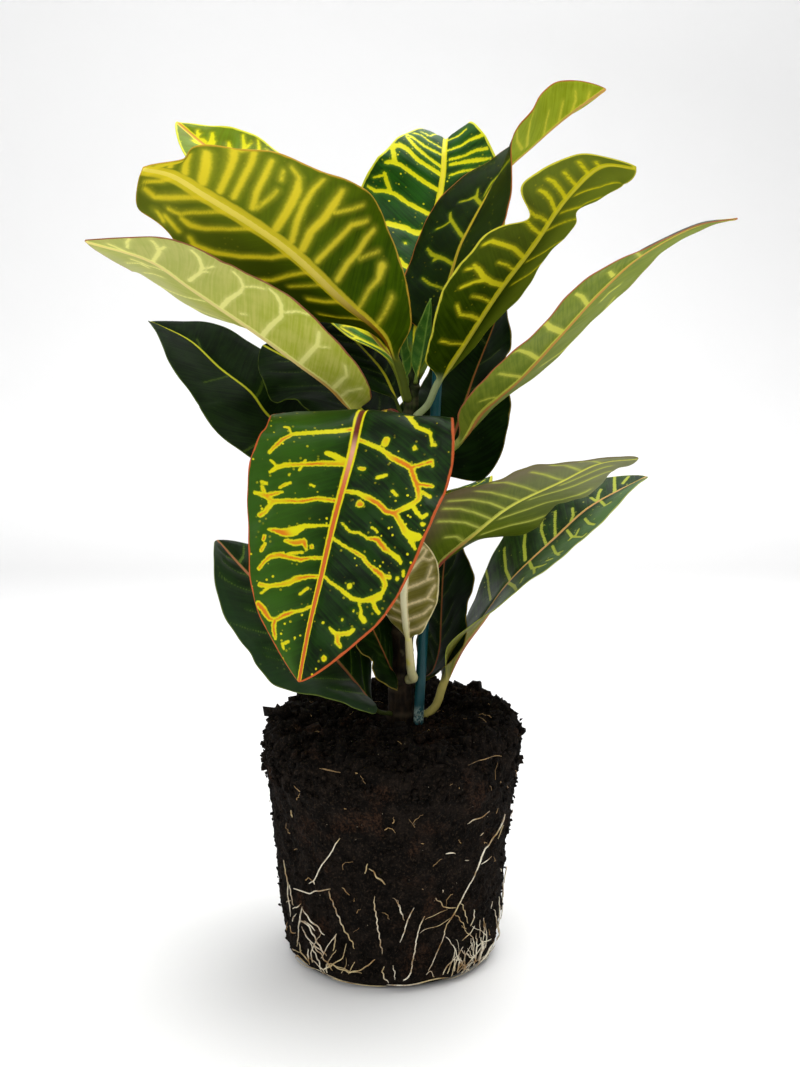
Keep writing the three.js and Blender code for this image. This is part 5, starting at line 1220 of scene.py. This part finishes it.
# Loose crumbs: least and usual further size, the most on the top, collar and wall, how far they stay
# from the stem, all in mm, and the shares that lie on the top and there lie evenly spread.
CRUMB = dict(
    least=0.35, further=0.6, top=2.8, collar=1.1, wall=0.6, stem_room=10, on_top=0.7, even=0.65,
)


def wall_radius(z):
    """Radius of the moulded wall at a height: rounded foot, taper, step out to the collar."""
    z = np.asarray(z, float)
    edge, collar = BALL["edge"], BALL["collar"]
    rounded = np.sqrt(1 - np.clip(1 - z / edge, 0, 1) ** 2)
    foot = mix(BALL["foot_radius"], BALL["wall_foot"], rounded)
    wall = mix(BALL["wall_foot"], BALL["wall_top"], np.clip((z - edge) / (collar - edge), 0, 1))
    upper = mix(wall, BALL["collar_radius"], smooth(z, collar - 9, collar + 4))
    return np.where(z < edge, foot, upper)


def lumps(x, y, z, size, seed):
    """Repeatable lumps between about -1 and 1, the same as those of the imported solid."""
    x, y, z = x / size + seed, y / size - 2 * seed, z / size + 3 * seed
    first = np.sin(x + 1.7 * np.sin(y + 0.6 * z)) * np.cos(1.3 * y - 0.7 * np.sin(z))
    second = np.sin(2.3 * z + 1.1 * x + seed) * np.cos(1.9 * x - 2.1 * y)
    return 0.65 * first + 0.35 * second


def edge_rise(turn):
    """How far the rim stands up towards the back."""
    return BALL["back_rise"] / 2 * (1 + np.cos(turn - math.radians(BALL["back_turn"])))


def peat_wall(z, turn, outwards=0.0):
    """Points of the wall with its lumps, outwards mm further out."""
    z, turn = np.broadcast_arrays(np.asarray(z, float), np.asarray(turn, float))
    radius = wall_radius(z)
    relief = lumps(radius * np.cos(turn), radius * np.sin(turn), z, 7, 1.3)
    radius = radius + BALL["relief"] * smooth(z, 0, BALL["edge"]) * relief + outwards
    height = z + edge_rise(turn) * smooth(z, BALL["collar"], BALL["rim"])
    return np.stack([radius * np.cos(turn), radius * np.sin(turn), height], -1)


def peat_top(share, turn):
    """Points of the crumbly top, share of the way from the middle to the edge."""
    share, turn = np.broadcast_arrays(np.asarray(share, float), np.asarray(turn, float))
    radius = share * (BALL["collar_radius"] - 2)
    x, y = radius * np.cos(turn), radius * np.sin(turn)
    rough = BALL["crumbs"] * lumps(x, y, np.full_like(x, BALL["rim"]), 8, 4.1)
    z = BALL["rim"] + BALL["crown"] * np.sqrt(1 - share**4) + edge_rise(turn) * share**2 + rough
    return np.stack([x, y, z], -1)


def displaced(piece, kind, size_mm, strength_mm, group):
    """Pushes a group of points along their normals by a texture, and keeps the result."""
    texture = bpy.data.textures.new(f"{kind.lower()}_{size_mm}", kind)
    texture.noise_scale = size_mm * MM
    push = piece.modifiers.new("crumble", "DISPLACE")
    push.texture = texture
    push.texture_coords = "LOCAL"
    push.strength = strength_mm * MM
    push.mid_level = 0.5
    push.vertex_group = group
    bpy.context.view_layer.objects.active = piece
    bpy.ops.object.modifier_apply(modifier=push.name)


def build_root_ball():
    """The moulded ball in one skin from the middle of its foot to the middle of its top."""
    turns = np.linspace(0, 2 * np.pi, int(2 * np.pi * BALL["collar_radius"] / BALL_STEP) + 1)
    foot = np.linspace(0, 1, FOOT_RINGS)[:, None] * BALL["foot_radius"]
    flat = np.zeros((FOOT_RINGS, len(turns)))
    base = np.stack([foot * np.cos(turns), foot * np.sin(turns), flat], -1)
    rounding = BALL["edge"] * (1 - np.cos(np.linspace(0.12, np.pi / 2, EDGE_RINGS)))
    upwards = np.arange(BALL["edge"] + BALL_STEP, BALL["rim"], BALL_STEP)
    wall = peat_wall(np.concatenate([rounding, upwards])[:, None], turns[None])
    top = peat_top(np.linspace(0.985, 0, TOP_RINGS)[:, None], turns[None])
    piece = shaped_grid("peat_ball", np.concatenate([base, wall, top]))
    # The foot stays flat, and the peat keeps off the stem.
    places = np.empty(len(piece.data.vertices) * 3, np.float32)
    piece.data.vertices.foreach_get("co", places)
    x, y, z = places.reshape(-1, 3).T
    away = np.hypot(x - STEM_FOOT[0] * MM, y - STEM_FOOT[1] * MM)
    weight = smooth(z, *FLAT_FOOT) * mix(0.25, 1, smooth(away, *STEM_ROOM))
    free = piece.vertex_groups.new(name="free")
    for i, share in enumerate(weight * mix(0.55, 1.0, smooth(z, *CRUMBLY))):
        if share > 0.01:
            free.add([i], float(share), "REPLACE")
    for kind, size, strength in CRUMBLES:
        displaced(piece, kind, size, strength, "free")
    return piece


def crumbs(rng, count):
    """Loose ragged crumbs: cubes with shaken corners, half sunk in the peat, all in one mesh."""
    cube = np.array([(x, y, z) for x in (-1, 1) for y in (-1, 1) for z in (-1, 1)], float)
    sides = ((0, 1, 3, 2), (4, 6, 7, 5), (0, 4, 5, 1), (2, 3, 7, 6), (0, 2, 6, 4), (1, 5, 7, 3))
    collar = BALL["collar"]
    points, faces = [], []
    for _ in range(count):
        turn = rng.uniform(0, 2 * np.pi)
        size = CRUMB["least"] + rng.exponential(CRUMB["further"])
        if rng.random() < CRUMB["on_top"]:
            even = rng.random() < CRUMB["even"]
            share = math.sqrt(rng.uniform(0.03, 1)) if even else rng.uniform(0.88, 1)
            place = peat_top(share, turn)
            out = np.array([0, 0, 1.0])
        else:
            z = rng.uniform(collar, BALL["rim"]) if rng.random() < 0.5 else rng.uniform(5, collar)
            place = peat_wall(z, turn)
            out = np.array([math.cos(turn), math.sin(turn), 0])
            size = min(size, CRUMB["collar" if z > collar else "wall"])
        if np.hypot(place[0] - STEM_FOOT[0], place[1] - STEM_FOOT[1]) < CRUMB["stem_room"]:
            continue
        corners = cube * rng.uniform(0.4, 1.2, 3) + rng.normal(0, 0.28, (8, 3))
        axes, _ = np.linalg.qr(rng.normal(size=(3, 3)))
        axes *= np.sign(np.linalg.det(axes))
        faces += [tuple(8 * len(points) + corner for corner in side) for side in sides]
        sunk = place + out * rng.uniform(0.2, 1.1)
        points.append(sunk + corners @ axes.T * min(size, CRUMB["top"]))
    return mesh_piece("peat_crumbs", points, faces)


def fibres(rng, count):
    """Dry fibres lying on the peat: the few long ones, then short strays."""
    paths = [wall_path(text, sunk=-0.3) for text in FIBRES.split("/")]
    widest = BALL["collar_radius"]
    for _ in range(count):
        turn, length = rng.uniform(0, 2 * np.pi), rng.uniform(1.5, 6)
        steps = np.linspace(0, 1, 6)
        heading, bend = rng.uniform(0, np.pi), rng.uniform(-1.2, 1.2)
        forward = length * steps * np.cos(heading + bend * steps)
        aside = length * steps * np.sin(heading + bend * steps)
        if rng.random() < 0.4:
            start = peat_top(math.sqrt(rng.uniform(0.1, 0.9)), turn)
            radius = np.minimum(np.hypot(start[0] + forward, start[1] + aside), widest)
            way = np.arctan2(start[1] + aside, start[0] + forward)
            line = peat_top(radius / widest, way) + np.array([0, 0, 1.3])
        else:
            heights = np.clip(rng.uniform(10, 94) + aside, 4, 97)
            line = peat_wall(heights, turn + forward / WALL_RADIUS, 1.4)
        line = line + rng.normal(0, 0.2, line.shape)
        paths.append((line, np.linspace(0.2, 0.08, 6) * rng.uniform(0.6, 1.2)))
    return many_tubes("peat_fibres", paths, 4)


# ---- Surface roots ------------------------------------------------------------------------------

ROOT_REACH = 1.9  # How far the roots' middles lie outside the wall's mean surface, in mm.
ROOT_SIZE = 0.62  # Real half width per half width in ROOTS and FIBRES, which count the glare in.
CROWDED = (226, 312, 40, 110)  # Degrees round the ball where fine roots crowd.


def wall_path(text, turned=0.0, sunk=0.0):
    """A root or fibre listed as degrees round the wall, height in mm and half width in tenths."""
    degrees, heights, radii = np.array(numbers(text)).T
    if len(degrees) == 1:
        degrees, heights, radii = degrees + [0, 1], heights + [0, 0.8], np.repeat(radii, 2)
    inner = np.linspace(0, len(degrees) - 1, 4 * len(degrees) - 3)
    marks = np.arange(len(degrees))
    turn = np.radians(np.interp(inner, marks, degrees) + turned)
    to_end = np.minimum(inner, inner[-1] - inner)
    radii = np.interp(inner, marks, radii) * np.minimum(1, 0.55 + 0.6 * to_end)
    heights = np.interp(inner, marks, heights)
    for values in (turn, heights):
        values[1:-1] = (values[:-2] + 2 * values[1:-1] + values[2:]) / 4
    kinks = np.sin(heights * 1.9 + degrees[0]) * 0.35
    return peat_wall(heights + kinks, turn + kinks / 90, ROOT_REACH - sunk), radii * ROOT_SIZE


def root_paths(rng, fine_roots):
    """Roots pressed against the mould: a broken ring round the foot, traced strands, and strays."""
    paths = []
    for k, (start, span) in enumerate(RING):
        turns = np.radians(np.linspace(start, start + span, int(span / 1.5)))
        z = 2.6 + 1.1 * np.sin(5 * turns + k) + 0.5 * np.sin(13 * turns + 2 * k)
        ends = np.linspace(0.3, 6, len(turns))
        radius = np.full(len(turns), 0.14 + 0.07 * (k % 3)) * np.minimum(1, ends)
        radius = radius * np.minimum(1, np.linspace(6, 0.3, len(turns)))
        paths.append((peat_wall(z, turns, ROOT_REACH - 0.9 + 0.6 * np.sin(9 * turns + k)), radius))
    traced = ROOTS.split("/")
    paths += [wall_path(text) for text in traced]
    # The far side, which carries the same kinds of strands further apart.
    paths += [wall_path(text, 150 + 25 * math.sin(2 * k), 0.3) for k, text in enumerate(traced[::2])]
    for _ in range(fine_roots):
        turn = math.radians(rng.choice(CROWDED) + rng.normal(0, 10))
        z = 1.5 + abs(rng.normal(0, 5))
        heading = rng.normal(1.2, 0.8)
        places = []
        for _ in range(int(rng.uniform(8, 20))):
            heading += rng.normal(0, 0.2)
            z = float(np.clip(z + 1.1 * math.sin(heading), 1.2, 40))
            turn += 1.1 * math.cos(heading) / 50
            places.append((z, turn))
        zs, turns = np.array(places).T
        line = peat_wall(zs, turns, ROOT_REACH - rng.uniform(0.2, 1.2))
        paths.append((line, rng.uniform(0.14, 0.36) * np.linspace(1, 0.4, len(zs))))
    return paths


# ---- Stem and stake -----------------------------------------------------------------------------

GREEN_BARK = (0.165, 0.235)  # Where the bark turns from brown to green, as heights in metres.
SCUFF = (0.1045, 0.1135)  # The heights between which the stake is scuffed, in metres.
CLEAN_STAKE = (0.116, 0.101)  # The heights, in metres, where the stake is clean and where dirty.
STEM_STEP = 0.7  # Between two rings of the stem, in mm.
FALLEN = (100, 250, 7.5)  # Scars of fallen leaves: from, up to, and how far apart, in mm.
STAKE_POINT = (0.8, 1.6, 2.2)  # Radii of the rings at the stake's foot and at its head, in mm.
STAKE_BEVEL = (2.1, 1.75)


def build_stem():
    """The woody stem with a ridge and a pale scar under each leaf seat and each leaf that has fallen."""
    low, high = STEM["path"][0][2], STEM["path"][-1][2]
    heights = np.arange(low, high + 0.01, STEM_STEP)
    places = [stem_at(height) for height in heights]
    line = np.array([centre for centre, _ in places])
    radii = np.array([radius for _, radius in places])
    turn = np.linspace(0, 2 * np.pi, 41)
    scars = [(leaf["seat"] - 1.5, math.radians(leaf["azimuth"])) for leaf in LEAVES.values()]
    scars += [(height, 2.4 * i) for i, height in enumerate(np.arange(*FALLEN))]
    ridge = np.zeros((len(heights), len(turn)))
    scar = np.zeros_like(ridge)
    for height, way in scars:
        gap = (heights - height)[:, None] - 0.9 * np.cos(turn - way)[None]
        facing = smooth(np.cos(turn - way), 0.1, 0.8)[None]
        ridge += 0.32 * np.exp(-((gap / 0.8) ** 2))
        ridge += 0.35 * facing * np.exp(-(((gap + 1.2) / 1.4) ** 2))
        scar = np.maximum(scar, facing * np.exp(-(((gap - 0.6) / 1.1) ** 2)))
    ridge += 0.12 * np.sin(9 * turn)[None] * np.sin(heights / 3)[:, None]
    ridge[-4:] *= 0.2
    rows = tube_rows(line, radii, 40, np.minimum(ridge, 0.75))
    nothing = np.zeros((1, len(turn)))
    return shaped_grid("woody_stem", rows, {"scar": np.concatenate([nothing, scar, nothing])})


def build_stake(radius):
    """The round stake: pointed foot in the soil, slightly bevelled head."""
    foot, head = np.array(STAKE["foot"], float), np.array(STAKE["head"], float)
    length = np.linalg.norm(head - foot)
    marks = np.array([-6, -3, 0, *np.linspace(8, length - 0.7, 60), length - 0.25, length])
    line = foot + marks[:, None] * unit(head - foot)
    radii = np.full(len(marks), radius)
    radii[:3] = np.minimum(radius, STAKE_POINT)
    radii[-2:] = np.minimum(radius, STAKE_BEVEL)
    grain = 0.03 * np.sin(7 * np.linspace(0, 2 * np.pi, 33))[None] * np.ones((len(marks), 1))
    return shaped_grid("teal_stake", tube_rows(line, radii, 32, grain))


# ---- What a user can change ---------------------------------------------------------------------


def colour_property(name, description, hex_colour):
    """A colour that a user can pick."""
    return FloatVectorProperty(
        name=name, description=description, default=linear(hex_colour)[:3],
        subtype="COLOR", size=3, min=0, max=1,
    )


def length_property(name, description, default, low, high):
    """A length that a user can set, in metres."""
    return FloatProperty(
        name=name, description=description, default=default, min=low, max=high,
        subtype="DISTANCE", unit="LENGTH", precision=5, step=0.01,
    )


def power_property(name, description, default):
    """The power of a lamp in watts."""
    return FloatProperty(
        name=name, description=description, default=default, min=0, subtype="POWER", unit="POWER",
    )


def air_property(name, description, default):
    """The strength of the light from the air round the plant."""
    return FloatProperty(
        name=name, description=description, default=default, min=0, max=4, subtype="FACTOR",
    )


class CrotonPeatSettings(bpy.types.PropertyGroup):
    """Root ball."""

    crumbs: IntProperty(
        name="Crumbs", description="Loose lumps half sunk in the peat", default=3200, min=0,
    )
    fibres: IntProperty(
        name="Fibres", description="Dry fibres lying on the peat", default=90, min=0,
    )
    fibre_pale: colour_property("Fibre", "Main colour of the dry fibres", "#a5824f")
    fibre_dark: colour_property("Fibre blotch", "Colour of their dark blotches", "#4e3a24")
    fibre_white: colour_property("Fibre light", "Colour of the lightest fibres", "#b89660")


class CrotonRootSettings(bpy.types.PropertyGroup):
    """Roots on the outside of the ball."""

    mat: IntProperty(
        name="Fine roots", description="Fine roots crowding round the foot", default=46, min=0,
    )
    root_pale: colour_property("Root", "Main colour of the roots", "#d2c090")
    root_dark: colour_property("Root blotch", "Colour of their brown blotches", "#8f6e40")
    root_white: colour_property("Young root", "Colour of the youngest roots", "#e9e2cc")


class CrotonStakeSettings(bpy.types.PropertyGroup):
    """Plant stake."""

    radius: length_property("Stake radius", "Half the stake's thickness", 0.00225, 0.001, 0.0024)
    coat: colour_property("Stake coat", "Colour of the plastic coat", "#155258")
    shade: colour_property("Stake shade", "Colour of its darker patches", "#0b3c42")


class CrotonLeafSettings(bpy.types.PropertyGroup):
    """Leaves."""

    grid: length_property(
        "Grid", "Mean distance between the points of a leaf", 0.00095, 0.0005, 0.004,
    )
    front_grid: length_property(
        "Front leaf grid", "The same on the large leaf that hangs in front", 0.0006, 0.0004, 0.004,
    )
    front_green: colour_property(
        "Front leaf", "Ground colour of the front leaf", LOOKS["front"]["dark"],
    )
    front_veins: colour_property(
        "Front leaf veins", "Colour of its side veins", LOOKS["front"]["vein"],
    )


class CrotonStageSettings(bpy.types.PropertyGroup):
    """Floor, light and camera."""

    lens: FloatProperty(
        name="Lens", description="Focal length of the camera", default=39.5, min=10,
        subtype="DISTANCE_CAMERA", unit="CAMERA",
    )
    key: power_property("Key light", "Power of the large overhead light", 24.0)
    fill: power_property("Fill light", "Power of the light beside the camera", 11.0)
    backdrop: power_property("Backdrop light", "Power of the light on the backdrop", 17.0)
    air: air_property("Room light", "Strength of the light from behind", 0.8)
    front_air: air_property("Front light", "Strength of the light from the front", 0.46)


def in_mm(length):
    """A length from a property in mm, without the last digits that the property rounds off."""
    return round(length / MM, 6)


def picked(*colours):
    """Colours from properties as the materials take them."""
    return [(*colour, 1.0) for colour in colours]


# ---- Building steps -----------------------------------------------------------------------------

# The floor in metres: how wide and long it is, how far it starts before the plant, where it bends up
# behind it and with what radius, and how far it lies below the ball's foot.
BOARD = dict(width=9.0, length=7.0, front=2.6, bend=1.4, radius=0.8, below=0.0002)
CAMERA = dict(place=(0.004, -0.520, 0.244), tilt=5.93, sensor_mm=36)
WORLD_SPAN = (-0.6, 0.5)  # The part of the way from front to back over which the air gets lighter.
# Name, place, the point it is aimed at and size of each lamp, in metres, and the setting of its power.
LAMPS = (
    ("key_light", (0.3, 0.25, 1.45), (0, 0, 0.2), 1.3, "key"),
    ("fill_light", (-0.6, -1.3, 1.1), (0, 0, 0.2), 1.2, "fill"),
    ("backdrop_light", (0, 0.9, 2.3), (0, 2.2, 0.3), 2.0, "backdrop"),
)


class CROTON_OT_root_ball(bpy.types.Operator):
    """Builds the moulded peat with its crumbs and fibres"""

    bl_idname = "croton.root_ball"
    bl_label = "Root ball"

    def execute(self, context):
        peat = context.scene.croton_peat
        ball = build_root_ball()
        body = peat_material()
        dress(ball, body, ["root_ball"])
        dress(crumbs(np.random.default_rng(11), peat.crumbs), body, ["root_ball"])
        loose = fibres(np.random.default_rng(12), peat.fibres)
        straw = picked(peat.fibre_pale, peat.fibre_dark, peat.fibre_white)
        dress(loose, fibre_material("dry_peat_fibre", *straw), ["root_ball"])
        return {"FINISHED"}


class CROTON_OT_roots(bpy.types.Operator):
    """Builds the roots on the outside of the ball"""

    bl_idname = "croton.roots"
    bl_label = "Surface roots"

    def execute(self, context):
        roots = context.scene.croton_roots
        paths = root_paths(np.random.default_rng(5), roots.mat)
        skin = fibre_material(
            "young_root_skin", *picked(roots.root_pale, roots.root_dark, roots.root_white)
        )
        dress(many_tubes("surface_root_mat", paths, 7), skin, ["surface_roots"])
        return {"FINISHED"}


class CROTON_OT_stem(bpy.types.Operator):
    """Builds the woody stem"""

    bl_idname = "croton.stem"
    bl_label = "Stem"

    def execute(self, context):
        dress(build_stem(), bark_material(), ["stem"])
        return {"FINISHED"}


class CROTON_OT_stake(bpy.types.Operator):
    """Builds the plant stake"""

    bl_idname = "croton.stake"
    bl_label = "Stake"

    def execute(self, context):
        stake = context.scene.croton_stake
        coat = stake_material(*picked(stake.coat, stake.shade))
        dress(build_stake(in_mm(stake.radius)), coat, ["stake"])
        return {"FINISHED"}


class CROTON_OT_leaves(bpy.types.Operator):
    """Builds every leaf with its petiole, midrib, side veins and waved margin"""

    bl_idname = "croton.leaves"
    bl_label = "Leaves"

    def execute(self, context):
        leaves = context.scene.croton_leaves
        green, yellow = picked(leaves.front_green, leaves.front_veins)
        looks = dict(LOOKS, front=dict(LOOKS["front"], dark=green, vein=yellow))
        materials = {}
        for name, leaf in LEAVES.items():
            kind = leaf["look"]
            if kind not in materials:
                materials[kind] = leaf_material(kind, looks[kind])
            step = in_mm(leaves.front_grid if kind == "front" else leaves.grid)
            rows, fields = leaf_rows(dict(leaf, name=name), step, looks[kind])
            piece = shaped_grid(f"croton_{name}", rows, fields)
            dress(piece, materials[kind], [name])
        return {"FINISHED"}


class CROTON_OT_stage(bpy.types.Operator):
    """Sets up the floor, the lights and the camera"""

    bl_idname = "croton.stage"
    bl_label = "Stage"

    def execute(self, context):
        stage = context.scene.croton_stage
        build_floor()
        context.scene.world = studio_air(stage.air, stage.front_air)
        for name, place, aim, size, power in LAMPS:
            bpy.ops.object.light_add(type="AREA", location=place)
            light = context.object
            light.name = name
            light.data.size = size
            light.data.energy = getattr(stage, power)
            way = Vector(aim) - Vector(place)
            light.rotation_euler = way.to_track_quat("-Z", "Y").to_euler()
        context.scene.view_settings.view_transform = "Standard"
        bpy.ops.object.camera_add(location=CAMERA["place"])
        camera = context.object
        camera.name = "photo_camera"
        camera.rotation_euler = (math.radians(90 - CAMERA["tilt"]), 0, 0)
        camera.data.sensor_fit = "VERTICAL"
        camera.data.sensor_height = CAMERA["sensor_mm"]
        camera.data.lens = stage.lens
        context.scene.camera = camera
        return {"FINISHED"}


def build_floor():
    """A board that runs back from the plant and curves up into the backdrop."""
    deselect()
    bpy.ops.mesh.primitive_grid_add(x_subdivisions=8, y_subdivisions=40, size=1)
    floor = bpy.context.object
    floor.name = "floor_sweep"
    bend, radius = BOARD["bend"], BOARD["radius"]
    for point in floor.data.vertices:
        reach = (point.co.y + 0.5) * BOARD["length"] - BOARD["front"]
        past = max(0.0, reach - bend)
        turn = min(past / radius, math.pi / 2)
        y = min(reach, bend + radius * math.sin(turn))
        z = radius * (1 - math.cos(turn)) + max(0.0, past - radius * math.pi / 2)
        point.co = Vector((point.co.x * BOARD["width"], y, z - BOARD["below"]))
    floor.data.materials.append(floor_material())
    floor.data.polygons.foreach_set("use_smooth", [True] * len(floor.data.polygons))


def studio_air(back, front):
    """Soft light from all sides, dimmer from the side the plant is seen from."""
    world = bpy.data.worlds.new("studio_air")
    world.use_nodes = True
    tree = world.node_tree
    depth = add(tree, "split", add(tree, "place", output="Generated"), output="Y")
    strength = add(tree, "step", depth, *WORLD_SPAN, front, back, interpolation_type="LINEAR")
    background = tree.nodes["Background"]
    background.inputs["Color"].default_value = linear("#fbfbfb")
    tree.links.new(strength, background.inputs["Strength"])
    return world


STEPS = (
    CROTON_OT_root_ball, CROTON_OT_roots, CROTON_OT_stem, CROTON_OT_stake, CROTON_OT_leaves,
    CROTON_OT_stage,
)


class CROTON_PT_panel(bpy.types.Panel):
    """Lists the building steps and the measures a user can change"""

    bl_idname = "CROTON_PT_panel"
    bl_label = "Potted croton"
    bl_space_type = "VIEW_3D"
    bl_region_type = "UI"
    bl_category = "Croton"

    def draw(self, context):
        for name, group in GROUPS.items():
            box = self.layout.box()
            for setting in group.__annotations__:
                box.prop(getattr(context.scene, name), setting)
        for step in STEPS:
            self.layout.operator(step.bl_idname)


GROUPS = dict(
    croton_peat=CrotonPeatSettings, croton_roots=CrotonRootSettings, croton_stake=CrotonStakeSettings,
    croton_leaves=CrotonLeafSettings, croton_stage=CrotonStageSettings,
)


def register():
    """Adds the settings, the building steps and the panel."""
    for made in (*GROUPS.values(), *STEPS, CROTON_PT_panel):
        bpy.utils.register_class(made)
    for name, group in GROUPS.items():
        setattr(bpy.types.Scene, name, PointerProperty(type=group))


def unregister():
    """Takes them away again."""
    for name in GROUPS:
        delattr(bpy.types.Scene, name)
    for made in reversed((*GROUPS.values(), *STEPS, CROTON_PT_panel)):
        bpy.utils.unregister_class(made)


def main():
    """Builds the plant and its stage."""
    register()
    for step in STEPS:
        group, name = step.bl_idname.split(".")
        getattr(getattr(bpy.ops, group), name)()


if __name__ == "__main__":
    main()
